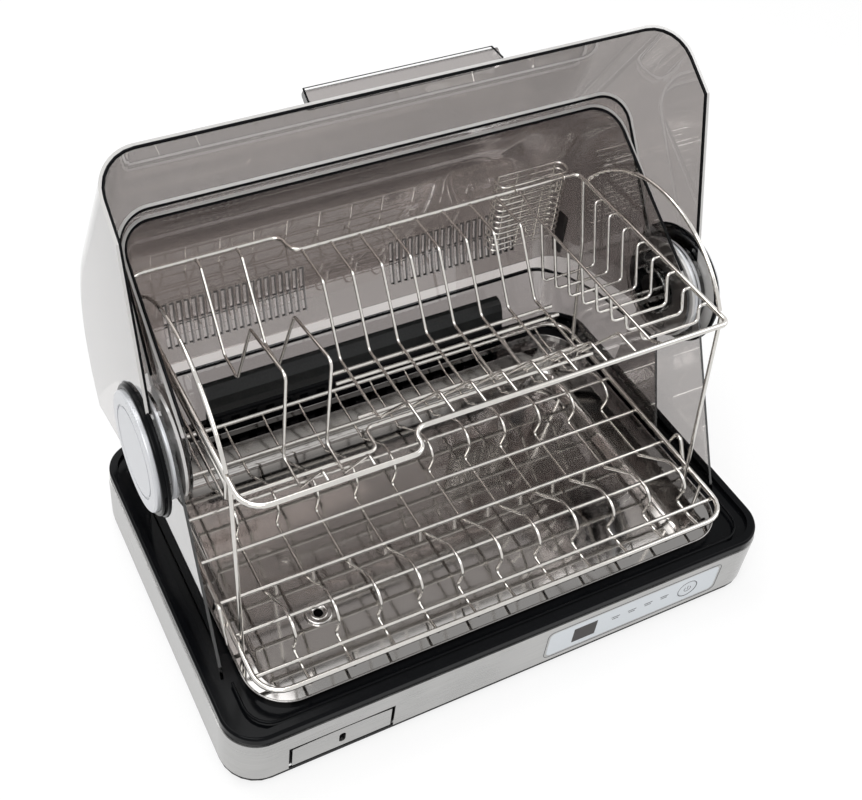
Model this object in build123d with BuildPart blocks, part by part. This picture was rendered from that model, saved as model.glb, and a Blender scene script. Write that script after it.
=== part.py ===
from build123d import *
from math import acos, cos, degrees, radians, sin
import os

os.makedirs("parts", exist_ok=True)

# Base
base_width = 540.0
base_depth = 342.0
base_corner = 34.0
foot_height = 5.0
foot_chamfer = 1.0
foot_radius = 11.0
foot_inset = 40.0
pan_top = 9.0
pan_wall = 2.5
pan_lip_height = 4.0
band_top = 61.0
band_wall = 1.2
deck_top = 71.0
deck_floor = 67.0
deck_under = 64.5
deck_inset = 1.3
deck_wall = 2.5
deck_lip_width = 8.0
deck_edge_round = 2.5
deck_skirt_height = 7.0
fit_gap = 0.2
run_gap = 0.4
cut_over = 2.0

# Drain tray drawer
tray_inset = 52.0
tray_width = 92.0
tray_reach = 135.0
tray_left = tray_inset - base_width / 2
tray_right = tray_left + tray_width
tray_rear = tray_reach - base_depth / 2
tray_bottom = 12.0
tray_rim = 30.0
tray_wall = 2.0
tray_face_top = 38.0
tray_face_bow = 1.5
tray_face_thick = 3.0
tray_gap = 3.0
pill_width = 6.0
pill_height = 13.0
finger_width = 30.0
finger_depth = 12.0
guide_wall = 2.0
guide_height = 13.0

# Drip basin
basin_side_margin = 32.0
basin_front_margin = 21.0
basin_rear_margin = 26.0
basin_width = base_width - 2 * basin_side_margin
basin_front = basin_front_margin - base_depth / 2
basin_rear = base_depth / 2 - basin_rear_margin
basin_corner = 40.0
basin_lip = 14.0
basin_sheet = 1.0
basin_floor = 36.0
basin_taper_angle = 14.0
basin_foot_round = 9.0
basin_bead = 2.0
bead_round_share = 0.45
drain_side_inset = 17.0
drain_rear_inset = 24.0
drain_x = tray_right - drain_side_inset
drain_y = tray_rear - drain_rear_inset
drain_bore = 7.0
drain_ring_radius = 13.0
drain_ring_height = 2.5
drain_round_share = 0.6
spout_bottom = 32.0
spout_wall = 1.5

# Control panel
panel_inset = 54.0
panel_width = 186.0
panel_right = base_width / 2 - panel_inset
panel_left = panel_right - panel_width
panel_low = 16.0
panel_high = 51.0
panel_round = 6.0
panel_thick = 2.5
panel_lip = 2.0
display_inset = 39.0
display_x = panel_left + display_inset
display_z = 33.0
display_width = 25.0
display_height = 21.0
display_thick = 1.5
button_inset = 33.0
button_x = panel_right - button_inset
button_radius = 10.0
button_travel = 0.8
button_flange = 1.5
button_flange_thick = 1.2
button_length = 5.0
post_radius = 3.0
post_length = 8.0
post_spacing_x = 150.0
post_spacing_z = 24.0
board_width = 164.0
board_height = 32.0
board_thick = 1.6

# Air path
fan_side_inset = 150.0
fan_rear_inset = 109.0
fan_x = base_width / 2 - fan_side_inset
fan_y = base_depth / 2 - fan_rear_inset
fan_shell_radius = 56.0
fan_shell_wall = 2.0
fan_shell_top = 33.0
fan_mouth_radius = 32.0
fan_wheel_radius = 48.0
fan_wheel_bore = 30.0
fan_wheel_low = 13.0
fan_wheel_top = 28.0
fan_plate = 1.5
fan_blades = 18
fan_blade_thick = 1.6
fan_blade_share = 0.9
fan_blade_angle = 30.0
motor_radius = 17.0
motor_low = 19.0
shaft_radius = 2.5
hub_radius = 6.0
throat_width = 70.0
throat_rear_inset = 26.0
throat_rear = base_depth / 2 - throat_rear_inset
heater_width = 60.0
heater_depth = 16.0
heater_height = 16.0
heater_slot_share = 0.8
heater_setback = 17.0
heater_y = throat_rear - heater_setback
heater_slots = 9
heater_slot = 3.4
duct_side_inset = 105.0
duct_rear_inset = 24.5
duct_depth = 9.0
duct_width = base_width - 2 * duct_side_inset
duct_front = base_depth / 2 - duct_rear_inset
duct_rear = duct_front + duct_depth
duct_top = 97.0
duct_wall = 2.0
duct_slots = 18
duct_slot_width = 9.0
duct_slot_height = 14.0
intake_slots = 9
intake_slot_length = 44.0
intake_slot_width = 3.0
intake_pitch = 6.5

# Hood: three covers nested about one hinge axis
cover_wall = 2.5
hub_rise = 156.3
hub_z = deck_floor + hub_rise
hood_inset = 5.0
front_half = base_width / 2 - hood_inset
front_radius = 194.0
front_corner = 36.0
front_trail_angle = -28.5
lead_angle = 69.7
lead_rise = 54.0
lead_reach = front_radius + lead_rise
tip_angle = 81.9
tip_reach = front_radius
front_boss = 57.0
front_boss_start_angle = 105.0
front_boss_end_angle = 290.0
grip_half = 87.0
grip_reach = 13.0
grip_thick = 9.0
grip_round = 3.0
mid_gap = 2.0
mid_radius = front_radius - cover_wall - mid_gap
mid_side_gap = 15.5
mid_half = front_half - cover_wall - mid_side_gap
mid_corner = 33.0
mid_low_angle = -20.0
mid_rim_angle = 54.5
mid_boss = 48.0
rear_gap = 6.5
rear_radius = mid_radius - cover_wall - rear_gap
rear_side_gap = 2.0
rear_half = mid_half - cover_wall - rear_side_gap
rear_corner = 30.0
rear_rim_angle = 49.5
rear_tangent_angle = -22.0
rear_boss = 46.0
rear_boss_start_angle = 130.0
rear_boss_end_angle = 250.0
rear_foot_inset = 11.8
rear_slope = sin(radians(-rear_tangent_angle)) / cos(radians(rear_tangent_angle))
rear_drop = hub_rise + rear_radius * sin(radians(rear_tangent_angle))
rear_bulge = rear_drop * rear_slope - rear_radius * cos(radians(rear_tangent_angle))
hub_y = base_depth / 2 - rear_foot_inset + rear_bulge
skirt_reach = 57.7
skirt_front = hub_y - skirt_reach
seam_rear_z = 128.0
seam_side_reach = 74.3
seam_side_y = hub_y + seam_side_reach
seam_side_z = 154.0
seam_front_z = 176.0
seam_height = 2.5
vent_slots = 20
vent_pitch_share = 0.0305
vent_left_share = -0.474
vent_right_share = 0.511
vent_pitch = rear_half * vent_pitch_share
vent_width = 3.4
vent_low = 156.0
vent_high = 200.0
vent_rib = 2.4
vent_left_x = rear_half * vent_left_share
vent_right_x = rear_half * vent_right_share
guard_gap = 4.0
guard_inner = mid_half + guard_gap
guard_wall = 2.5
guard_tip_inset = 67.0
guard_tip_y = guard_tip_inset - base_depth / 2
guard_rear_reach = 38.3
guard_rear_y = hub_y + guard_rear_reach
guard_front_angle = 165.0
guard_rear_angle = 300.0
pin_radius = 8.0
pin_bore_gap = 0.3
pin_head_radius = 14.0
pin_head = 3.0
pin_inner_reach = 6.0
pin_inner = rear_half - pin_inner_reach
pin_outer_reach = 2.0
pin_outer = front_half + pin_outer_reach
shim_radius = 15.0
ring_radius = 46.0
ring_bore = 35.0
ring_thick = 3.5
ring_outer = guard_inner + guard_wall + ring_thick
drum_radius = 44.0
drum_bore = 31.0
drum_thick = 4.5
drum_outer = ring_outer + drum_thick
drum_windows = 6
drum_window = 9.0
trim_radius = 56.0
trim_bore = 51.9
trim_thick = 4.0
trim_outer = front_half + trim_thick
cap_radius = 51.4
cap_thick = 8.5
cap_outer = front_half + cap_thick
groove_outer_share = 0.78
groove_inner_share = 0.74
cap_round = 2.0
cap_groove = 1.0
cap_socket = 9.5
inner_cap_radius = 24.0
inner_cap_reach = 9.5
inner_cap_face = rear_half - inner_cap_reach
inner_cap_screw_radius = 18.5
inner_cap_screws = 3
screw_head_radius = 3.0
screw_head = 2.0

# Lower rack
rim_wire = 2.5
cross_wire = 2.0
thin_wire = 1.5
fine_wire = 1.0
weld_gap = 0.1
weld_sink = 0.5
low_margin = 5.0
low_half = basin_width / 2 - low_margin
low_front = basin_front + low_margin
low_rear = basin_rear - low_margin
low_depth = low_rear - low_front
low_corner = 24.0
low_z = 88.0
low_cross_shares = (0.0807, 0.2281, 0.3509, 0.5088, 0.6772, 0.8456)
low_cross_ys = [low_front + low_depth * share for share in low_cross_shares]
wave_count = 11
wave_pitch_share = 0.1691
wave_pitch = low_half * wave_pitch_share
wave_shift_share = 0.0279
wave_shift = low_half * wave_shift_share
wave_rise = 20.0
wave_front_share = 0.1298
wave_front = low_front + low_depth * wave_front_share
wave_step_share = 0.4386
wave_step = low_depth * wave_step_share
wave_lead_share = 0.55
wave_run_share = 0.1825
wave_run = low_depth * wave_run_share
wave_crown = 14.0
wave_end_drop = 0.5
prong_back = 11.0
prong_reach = 18.0
prong_rise = 9.0
low_leg_inset = 40.0
loop_rear_share = 0.3333
loop_rear = low_front + low_depth * loop_rear_share
loop_top_lean = 7.0
loop_top_y = loop_rear - loop_top_lean
loop_top_z = 111.0
loop_foot_lean = 28.0
loop_foot_y = loop_rear - loop_foot_lean

# Upper rack
up_z = 271.0
leg_overlap = 0.9
up_half = low_half - rim_wire - cross_wire - run_gap + leg_overlap
up_front_setback = 70.0
up_front = low_front + up_front_setback
up_rear_reach = 16.0
up_rear = low_rear + up_rear_reach
up_depth = up_rear - up_front
jog_depth = 24.0
up_front_left = up_front - jog_depth
up_rear_left = up_rear + jog_depth
up_left_depth = up_rear_left - up_front_left
jog_share = -0.345
jog_x = up_half * jog_share
jog_round = 11.0
up_corner = 20.0
arch_rise = 56.0
arch_front_inset = 13.0
arch_front = up_front + arch_front_inset
arch_rear_inset = 16.0
arch_rear = up_rear - arch_rear_inset
arch_drop = 0.9
leg_front_inset = 9.0
leg_front_top = up_front + leg_front_inset
leg_front_setback = 55.0
leg_front_foot = low_front + leg_front_setback
leg_rear_inset = 10.0
leg_rear_top = up_rear - leg_rear_inset
leg_knee_inset = 29.0
leg_rear_knee = up_rear - leg_knee_inset
leg_rear_setback = 36.0
leg_rear_foot = low_rear - leg_rear_setback
leg_knee_z = 207.0
leg_foot_gap = 0.7
loop_foot_gap = 1.05
divider_count = 8
divider_first_gap = 10.0
divider_first = jog_x + divider_first_gap
divider_pitch_share = 0.1266
divider_pitch = up_half * divider_pitch_share
divider_shares = (0.8009, 0.6190, 0.2900, 0.1169)
divider_rear, divider_floor_rear, divider_floor_front, divider_front = [
    up_front + up_depth * share for share in divider_shares]
floor_z = 211.5
floor_wire = 1.8
floor_shares = (0.5714, 0.5195, 0.3333)
floor_ys = [up_front + up_depth * share for share in floor_shares]
floor_front_gap = 3.0
floor_front = divider_floor_front - floor_front_gap
floor_front_share = 0.2258
floor_front_left = up_front_left + up_left_depth * floor_front_share
floor_end_inset = 15.0
floor_end_left = floor_end_inset - up_half
floor_jog_gap = 5.0
floor_left_x = jog_x - floor_jog_gap
post_x_shares = (-0.703, -0.533)
post_xs = [up_half * share for share in post_x_shares]
post_shares = (0.2975, 0.5484, 0.6487, 0.7563)
post_y, post_back_y, post_foot_y, post_rear_y = [
    up_front_left + up_left_depth * share for share in post_shares]
post_top = 308.0
post_back_top = 295.0
hoop_count = 8
hoop_front_inset = 28.0
hoop_front = up_front + hoop_front_inset
hoop_pitch_share = 0.0983
hoop_pitch = up_depth * hoop_pitch_share
hoop_left_inset = 69.0
hoop_left = up_half - hoop_left_inset
hoop_right_inset = 10.0
hoop_right = up_half - hoop_right_inset
hoop_low_front = 256.0
hoop_low_rear = 206.0
hoop_top = 262.0
floor_hoop_gap = 14.0
floor_end_right = hoop_left - floor_hoop_gap
cage_width = 78.0
cage_depth = 22.0
cage_side_inset = 7.0
cage_right = up_half - cage_side_inset
cage_left = cage_right - cage_width
cage_rear = up_rear + cage_depth
cage_low = 195.0
cage_high = 273.0
cage_round = 7.0
cage_hoops = 12
cage_bars = 4
cage_hook_inset = 12.0
cage_hook_drop = 20.0

# Fasteners
pan_screw_radius = 3.5
pan_screw_height = 2.0
pan_screw_inset = 18.0

WIRE_SIDES = 6
QUARTER = 90


def polar(radius, angle):
    """A point beside the hinge axis, as (y, z)."""
    return (hub_y + radius * cos(radians(angle)), hub_z + radius * sin(radians(angle)))


def strand(points, radius, bend=0.0, closed=False):
    """One wire bent along the points; the bend is one radius or a list with one for each corner."""
    with BuildPart() as wire:
        with BuildLine() as path:
            if bend:
                FilletPolyline(*points, radius=bend, close=closed)
            else:
                Polyline(*points, close=closed)
        with BuildSketch(Plane(origin=path.line @ 0, z_dir=path.line % 0)):
            RegularPolygon(radius, WIRE_SIDES)
        sweep(path=path.line, transition=Transition.RIGHT)
    return wire.part


def prism(draw, half_width, seams, corner):
    """A solid across the hood with its long edges near the seam points rounded."""
    with BuildPart() as blank:
        with BuildSketch(Plane.YZ.offset(-half_width)):
            with BuildLine():
                draw()
            make_face()
        extrude(amount=2 * half_width)
        ends = [(side * half_width, y, z) for side in (-1, 1) for y, z in seams]
        fillet([blank.edges().sort_by_distance(end)[0] for end in ends], corner)
    return blank.part


def outline(inset):
    """Width, depth and corner of the base moved in by the inset."""
    return (base_width - 2 * inset, base_depth - 2 * inset, base_corner - inset)


front_face = Plane.XZ.offset(base_depth / 2)
basin_depth = basin_rear - basin_front
basin_y = (basin_rear + basin_front) / 2
tray_x = (tray_left + tray_right) / 2
panel_x = (panel_left + panel_right) / 2
panel_z = (panel_low + panel_high) / 2
panel_height = panel_high - panel_low

# Bottom pan
pan_inset = band_wall + fit_gap
pan_floor = foot_height + pan_wall
with BuildPart() as bottom_pan:
    with BuildSketch(Plane.XY.offset(foot_height)):
        RectangleRounded(*outline(deck_inset))
    extrude(amount=pan_top - foot_height)
    with BuildSketch(Plane.XY.offset(pan_top)):
        RectangleRounded(*outline(pan_inset))
    extrude(amount=pan_lip_height)
    with BuildSketch(Plane.XY.offset(pan_floor)):
        RectangleRounded(*outline(pan_inset + pan_wall))
    extrude(amount=pan_top + pan_lip_height, mode=Mode.SUBTRACT)
    with BuildSketch(Plane.XY.offset(foot_height)):
        with Locations((tray_x, -base_depth / 2)):
            Rectangle(tray_width + 2 * tray_gap, 2 * tray_gap + 2 * pan_wall)
    extrude(amount=pan_top + pan_lip_height, mode=Mode.SUBTRACT)
    with BuildSketch(Plane.XY.offset(foot_height)):
        with Locations((fan_x, fan_y)):
            with GridLocations(0, intake_pitch, 1, intake_slots):
                SlotOverall(intake_slot_length, intake_slot_width)
    extrude(amount=pan_top - foot_height + cut_over, both=True, mode=Mode.SUBTRACT)
bottom_pan.part.label = "bottom_pan"
export_step(bottom_pan.part, "parts/bottom_pan.step")

# Rubber feet
foot_spacing = (base_width - 2 * foot_inset, base_depth - 2 * foot_inset)
with BuildPart() as rubber_feet:
    with BuildSketch():
        with GridLocations(*foot_spacing, 2, 2):
            Circle(foot_radius)
    extrude(amount=foot_height)
    chamfer(rubber_feet.faces().filter_by(Axis.Z).group_by(Axis.Z)[0].edges(), foot_chamfer)
rubber_feet.part.label = "rubber_feet"
export_step(rubber_feet.part, "parts/rubber_feet.step")

# Pan screws under the four corners
with BuildPart() as pan_screws:
    with BuildSketch(Plane.XY.offset(foot_height)):
        with GridLocations(foot_spacing[0] - 2 * pan_screw_inset, foot_spacing[1], 2, 2):
            Circle(pan_screw_radius)
    extrude(amount=-pan_screw_height)
    fillet(pan_screws.faces().sort_by(Axis.Z)[0:4].edges(), pan_screw_height / 2)
pan_screws.part.label = "pan_screws"
export_step(pan_screws.part, "parts/pan_screws.step")

# Brushed band round the base, open for the drawer and the control panel
with BuildPart() as steel_band:
    with BuildSketch(Plane.XY.offset(pan_top)):
        RectangleRounded(*outline(0))
        RectangleRounded(*outline(band_wall), mode=Mode.SUBTRACT)
    extrude(amount=band_top - pan_top)
    with BuildSketch(front_face):
        with Locations((tray_x, pan_top)):
            Rectangle(tray_width + 2 * tray_gap, 2 * (tray_face_top + tray_face_bow - pan_top) + tray_gap)
        with Locations((panel_x, panel_z)):
            RectangleRounded(panel_width, panel_height, panel_round)
    extrude(amount=band_wall + cut_over, both=True, mode=Mode.SUBTRACT)
steel_band.part.label = "steel_band"
export_step(steel_band.part, "parts/steel_band.step")

# Deck: outer lip, channel round the basin and a skirt inside the band
basin_mouth = (basin_width - 2 * basin_lip, basin_depth - 2 * basin_lip, basin_corner - basin_lip)
with BuildPart() as deck:
    with BuildSketch(Plane.XY.offset(band_top)):
        RectangleRounded(*outline(deck_inset))
    extrude(amount=deck_top - band_top)
    fillet(deck.faces().sort_by(Axis.Z)[-1].edges(), deck_edge_round)
    with BuildSketch(Plane.XY.offset(deck_floor)):
        RectangleRounded(*outline(deck_inset + deck_lip_width))
    extrude(amount=deck_top, mode=Mode.SUBTRACT)
    with BuildSketch(Plane.XY.offset(band_top)):
        RectangleRounded(*outline(deck_inset + deck_wall))
        with Locations((0, basin_y)):
            RectangleRounded(*[size + 2 * deck_wall for size in basin_mouth[:2]], basin_mouth[2] + deck_wall,
                             mode=Mode.SUBTRACT)
    extrude(amount=deck_under - band_top, mode=Mode.SUBTRACT)
    with BuildSketch(Plane.XY.offset(band_top)):
        with Locations((0, basin_y)):
            RectangleRounded(*basin_mouth)
    extrude(amount=deck_top, mode=Mode.SUBTRACT)
    with BuildSketch(Plane.XY.offset(deck_under)):
        RectangleRounded(*outline(pan_inset))
        RectangleRounded(*outline(pan_inset + pan_wall), mode=Mode.SUBTRACT)
    extrude(amount=band_top - deck_skirt_height - deck_under)
    with BuildSketch(Plane.XY.offset(deck_floor)):
        with Locations((0, (duct_front + duct_rear) / 2)):
            Rectangle(duct_width - 4 * duct_wall, duct_rear - duct_front - 2 * duct_wall)
    extrude(amount=-deck_floor, mode=Mode.SUBTRACT)
deck.part.label = "deck"
export_step(deck.part, "parts/deck.step")


# Drip basin: tapered pressing with a raised floor panel, a flat lip and a rolled bead
def basin_body(inset):
    with BuildPart() as body:
        with BuildSketch(Plane.XY.offset(deck_floor)):
            with Locations((0, basin_y)):
                RectangleRounded(*[size - 2 * (fit_gap + inset) for size in basin_mouth[:2]],
                                 basin_mouth[2] - inset)
        extrude(amount=basin_floor + inset - deck_floor, taper=basin_taper_angle)
        fillet(body.faces().sort_by(Axis.Z)[0].edges(), basin_foot_round - inset)
    return body.part


basin_outer = basin_body(0)
basin_inner = basin_body(basin_sheet)
with BuildPart() as drip_basin:
    with BuildSketch(Plane.XY.offset(deck_floor)):
        with Locations((0, basin_y)):
            RectangleRounded(basin_width, basin_depth, basin_corner)
    extrude(amount=basin_sheet)
    add(basin_outer)
    with BuildSketch(Plane.XY.offset(deck_floor)):
        with Locations((0, basin_y)):
            RectangleRounded(*[size - 2 * (fit_gap + basin_sheet) for size in basin_mouth[:2]],
                             basin_mouth[2] - basin_sheet)
    extrude(amount=cut_over, mode=Mode.SUBTRACT)
    add(basin_inner, mode=Mode.SUBTRACT)
    with BuildSketch(Plane.XY.offset(deck_floor + basin_sheet)):
        with Locations((0, basin_y)):
            RectangleRounded(basin_width, basin_depth, basin_corner)
            RectangleRounded(basin_width - 2 * basin_bead, basin_depth - 2 * basin_bead,
                             basin_corner - basin_bead, mode=Mode.SUBTRACT)
    extrude(amount=2 * basin_bead)
    fillet(drip_basin.faces().sort_by(Axis.Z)[-1].edges(), basin_bead * bead_round_share)
    with BuildSketch(Plane.XY.offset(basin_floor)):
        with Locations((drain_x, drain_y)):
            Circle(drain_bore)
    extrude(amount=cut_over, both=True, mode=Mode.SUBTRACT)
drip_basin.part.label = "drip_basin"
export_step(drip_basin.part, "parts/drip_basin.step")

# Drain ring and spout
with BuildPart() as drain_ring:
    with BuildSketch(Plane.XY.offset(basin_floor + basin_sheet)):
        with Locations((drain_x, drain_y)):
            Circle(drain_ring_radius)
            Circle(drain_bore, mode=Mode.SUBTRACT)
    extrude(amount=drain_ring_height)
    fillet(drain_ring.faces().sort_by(Axis.Z)[-1].edges(), drain_ring_height * drain_round_share)
drain_ring.part.label = "drain_ring"
export_step(drain_ring.part, "parts/drain_ring.step")

with BuildPart() as drain_spout:
    with BuildSketch(Plane.XY.offset(basin_floor)):
        with Locations((drain_x, drain_y)):
            Circle(drain_bore + spout_wall)
            Circle(drain_bore, mode=Mode.SUBTRACT)
    extrude(amount=spout_bottom - basin_floor)
drain_spout.part.label = "drain_spout"
export_step(drain_spout.part, "parts/drain_spout.step")

# Drain tray, its steel face and its guides
tray_front = tray_face_thick - base_depth / 2
with BuildPart() as drain_tray:
    with BuildSketch(Plane.XY.offset(tray_bottom)):
        with Locations((tray_x, (tray_front + tray_rear) / 2)):
            RectangleRounded(tray_width, tray_rear - tray_front, 2 * tray_wall)
    extrude(amount=tray_rim - tray_bottom)
    tray_inner = tray_front + finger_depth + tray_wall
    with BuildSketch(Plane.XY.offset(tray_bottom + tray_wall)):
        with Locations((tray_x, (tray_inner + tray_rear - tray_wall) / 2)):
            RectangleRounded(tray_width - 2 * tray_wall, tray_rear - tray_wall - tray_inner, tray_wall)
        with Locations((tray_x, tray_front + finger_depth / 2)):
            Rectangle(finger_width, finger_depth)
    extrude(amount=tray_rim, mode=Mode.SUBTRACT)
drain_tray.part.label = "drain_tray"
export_step(drain_tray.part, "parts/drain_tray.step")

tray_face_z = (tray_bottom + tray_face_top) / 2
with BuildPart() as tray_face:
    with BuildSketch(front_face):
        with BuildLine():
            low_left = (tray_left, tray_bottom)
            low_right = (tray_right, tray_bottom)
            high_left = (tray_left, tray_face_top)
            high_right = (tray_right, tray_face_top)
            Polyline(high_left, low_left, low_right, high_right)
            ThreePointArc(high_right, (tray_x, tray_face_top + tray_face_bow), high_left)
        make_face()
        with Locations((tray_x, tray_face_z)):
            SlotOverall(pill_height, pill_width, rotation=QUARTER, mode=Mode.SUBTRACT)
    extrude(amount=-tray_face_thick)
tray_face.part.label = "tray_face"
export_step(tray_face.part, "parts/tray_face.step")

with BuildPart() as tray_guides:
    guide_rear = tray_rear + guide_wall
    guide_front = tray_front + 3 * tray_gap
    with BuildSketch(Plane.XY.offset(pan_floor)):
        for side in (-1, 1):
            guide_x = tray_x + side * (tray_width / 2 + run_gap + guide_wall / 2)
            with Locations((guide_x, (guide_rear + guide_front) / 2)):
                Rectangle(guide_wall, guide_rear - guide_front)
    extrude(amount=guide_height)
    with BuildSketch(Plane.XY.offset(pan_floor)):
        with Locations((tray_x, (guide_rear + guide_front) / 2)):
            Rectangle(tray_width + 2 * (run_gap + guide_wall), guide_rear - guide_front)
    extrude(amount=tray_bottom - pan_floor - run_gap)
tray_guides.part.label = "tray_guides"
export_step(tray_guides.part, "parts/tray_guides.step")

# Control panel with its window, button and circuit board
with BuildPart() as control_panel:
    with BuildSketch(front_face):
        with Locations((panel_x, panel_z)):
            RectangleRounded(panel_width - 2 * fit_gap, panel_height - 2 * fit_gap, panel_round - fit_gap)
    extrude(amount=-panel_thick)
    with BuildSketch(front_face.offset(-band_wall)):
        with Locations((panel_x, panel_z)):
            RectangleRounded(panel_width + 2 * panel_lip, panel_height + 2 * panel_lip,
                             panel_round + panel_lip)
    extrude(amount=band_wall - panel_thick)
    with BuildSketch(front_face.offset(-panel_thick)):
        with Locations((panel_x, panel_z)):
            with GridLocations(post_spacing_x, post_spacing_z, 2, 2):
                Circle(post_radius)
    extrude(amount=-post_length)
    with BuildSketch(front_face):
        with Locations((button_x, display_z)):
            Circle(button_radius + pin_bore_gap)
    extrude(amount=panel_thick + cut_over, both=True, mode=Mode.SUBTRACT)
    with BuildSketch(front_face):
        with Locations((display_x, display_z)):
            Rectangle(display_width, display_height)
    extrude(amount=-display_thick, mode=Mode.SUBTRACT)
control_panel.part.label = "control_panel"
export_step(control_panel.part, "parts/control_panel.step")

with BuildPart() as display_window:
    with BuildSketch(front_face.offset(-display_thick)):
        with Locations((display_x, display_z)):
            Rectangle(display_width - 2 * fit_gap, display_height - 2 * fit_gap)
    extrude(amount=display_thick)
display_window.part.label = "display_window"
export_step(display_window.part, "parts/display_window.step")

with BuildPart() as power_button:
    with BuildSketch(front_face):
        with Locations((button_x, display_z)):
            Circle(button_radius)
    extrude(amount=-button_length)
    fillet(power_button.faces().sort_by(Axis.Y)[0].edges(), button_travel / 2)
    with BuildSketch(front_face.offset(-panel_thick - fit_gap)):
        with Locations((button_x, display_z)):
            Circle(button_radius + button_flange)
    extrude(amount=-button_flange_thick)
power_button.part.label = "power_button"
export_step(power_button.part, "parts/power_button.step")

with BuildPart() as control_board:
    with BuildSketch(front_face.offset(-panel_thick - post_length)):
        with Locations((panel_x, panel_z)):
            Rectangle(board_width, board_height)
    extrude(amount=-board_thick)
    switch_depth = panel_thick + post_length - button_length - button_travel - run_gap
    with BuildSketch(front_face.offset(-panel_thick - post_length)):
        with Locations((button_x, display_z)):
            Rectangle(button_radius, button_radius)
    extrude(amount=switch_depth)
    with BuildSketch(front_face.offset(-panel_thick - post_length)):
        with Locations((display_x, display_z)):
            Rectangle(display_width, display_height)
    extrude(amount=post_length - run_gap)
control_board.part.label = "control_board"
export_step(control_board.part, "parts/control_board.step")

# Blower: scroll shell, wheel and motor under the basin
with BuildPart() as fan_housing:
    with BuildSketch(Plane.XY.offset(pan_floor)):
        with Locations((fan_x, fan_y)):
            Circle(fan_shell_radius)
        with Locations((fan_x, (fan_y + throat_rear) / 2)):
            Rectangle(throat_width, throat_rear - fan_y)
    extrude(amount=fan_shell_top - pan_floor)
    with BuildSketch(Plane.XY.offset(pan_floor + fan_shell_wall)):
        with Locations((fan_x, fan_y)):
            Circle(fan_shell_radius - fan_shell_wall)
        with Locations((fan_x, (fan_y + throat_rear) / 2 + fan_shell_wall)):
            Rectangle(throat_width - 2 * fan_shell_wall, throat_rear - fan_y)
    extrude(amount=fan_shell_top - pan_floor - 2 * fan_shell_wall, mode=Mode.SUBTRACT)
    with BuildSketch(Plane.XY.offset(pan_floor)):
        with Locations((fan_x, fan_y)):
            Circle(fan_mouth_radius)
    extrude(amount=fan_shell_wall, mode=Mode.SUBTRACT)
fan_housing.part.label = "fan_housing"
export_step(fan_housing.part, "parts/fan_housing.step")

blade_span = fan_wheel_radius - fan_wheel_bore
with BuildPart() as fan_wheel:
    with BuildSketch(Plane.XY.offset(fan_wheel_low)):
        with Locations((fan_x, fan_y)):
            Circle(fan_wheel_radius)
            Circle(shaft_radius + fit_gap, mode=Mode.SUBTRACT)
    extrude(amount=fan_plate)
    with BuildSketch(Plane.XY.offset(fan_wheel_low + fan_plate)):
        with Locations((fan_x, fan_y)):
            with PolarLocations((fan_wheel_radius + fan_wheel_bore) / 2, fan_blades):
                Rectangle(blade_span * fan_blade_share, fan_blade_thick, rotation=fan_blade_angle)
    extrude(amount=fan_wheel_top - fan_wheel_low - fan_plate)
    with BuildSketch(Plane.XY.offset(fan_wheel_low + fan_plate)):
        with Locations((fan_x, fan_y)):
            Circle(hub_radius)
            Circle(shaft_radius + fit_gap, mode=Mode.SUBTRACT)
    extrude(amount=motor_low - fan_wheel_low - fan_plate - run_gap)
fan_wheel.part.label = "fan_wheel"
export_step(fan_wheel.part, "parts/fan_wheel.step")

with BuildPart() as fan_motor:
    with BuildSketch(Plane.XY.offset(motor_low)):
        with Locations((fan_x, fan_y)):
            Circle(motor_radius)
    extrude(amount=fan_shell_top - fan_shell_wall - motor_low)
    fillet(fan_motor.faces().sort_by(Axis.Z)[0].edges(), fan_shell_wall)
    with BuildSketch(Plane.XY.offset(motor_low)):
        with Locations((fan_x, fan_y)):
            Circle(shaft_radius)
    extrude(amount=fan_wheel_low - motor_low)
fan_motor.part.label = "fan_motor"
export_step(fan_motor.part, "parts/fan_motor.step")

# Finned heater block in the blower throat
heater_low = pan_floor + fan_shell_wall
with BuildPart() as heater:
    with BuildSketch(Plane.XY.offset(heater_low)):
        with Locations((fan_x, heater_y)):
            Rectangle(heater_width, heater_depth)
    extrude(amount=heater_height)
    with BuildSketch(Plane.XZ.offset(-heater_y)):
        with Locations((fan_x, heater_low + heater_height / 2)):
            with GridLocations(heater_width / heater_slots, 0, heater_slots, 1):
                Rectangle(heater_slot, heater_height * heater_slot_share)
    extrude(amount=heater_depth, both=True, mode=Mode.SUBTRACT)
heater.part.label = "heater"
export_step(heater.part, "parts/heater.step")

# Air outlet: riser from the throat and slotted hump along the rear of the deck
with BuildPart() as air_outlet:
    duct_y = (duct_front + duct_rear) / 2
    with BuildSketch(Plane.XY.offset(deck_floor)):
        with Locations((0, duct_y)):
            Rectangle(duct_width, duct_depth)
    extrude(amount=duct_top - deck_floor)
    fillet(air_outlet.edges().filter_by(Axis.X).group_by(Axis.Z)[-1].sort_by(Axis.Y)[0], 2 * duct_wall)
    with BuildSketch(Plane.XY.offset(deck_floor)):
        with Locations((0, duct_y)):
            Rectangle(duct_width - 2 * duct_wall, duct_depth - 2 * duct_wall)
    extrude(amount=duct_top - deck_floor - duct_wall, mode=Mode.SUBTRACT)
    with BuildSketch(Plane.XZ.offset(-duct_front)):
        with Locations((0, (deck_floor + duct_top) / 2)):
            with GridLocations(duct_width / duct_slots, 0, duct_slots, 1):
                Rectangle(duct_slot_width, duct_slot_height)
    extrude(amount=duct_wall + run_gap, both=True, mode=Mode.SUBTRACT)
air_outlet.part.label = "air_outlet"
export_step(air_outlet.part, "parts/air_outlet.step")

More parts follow.
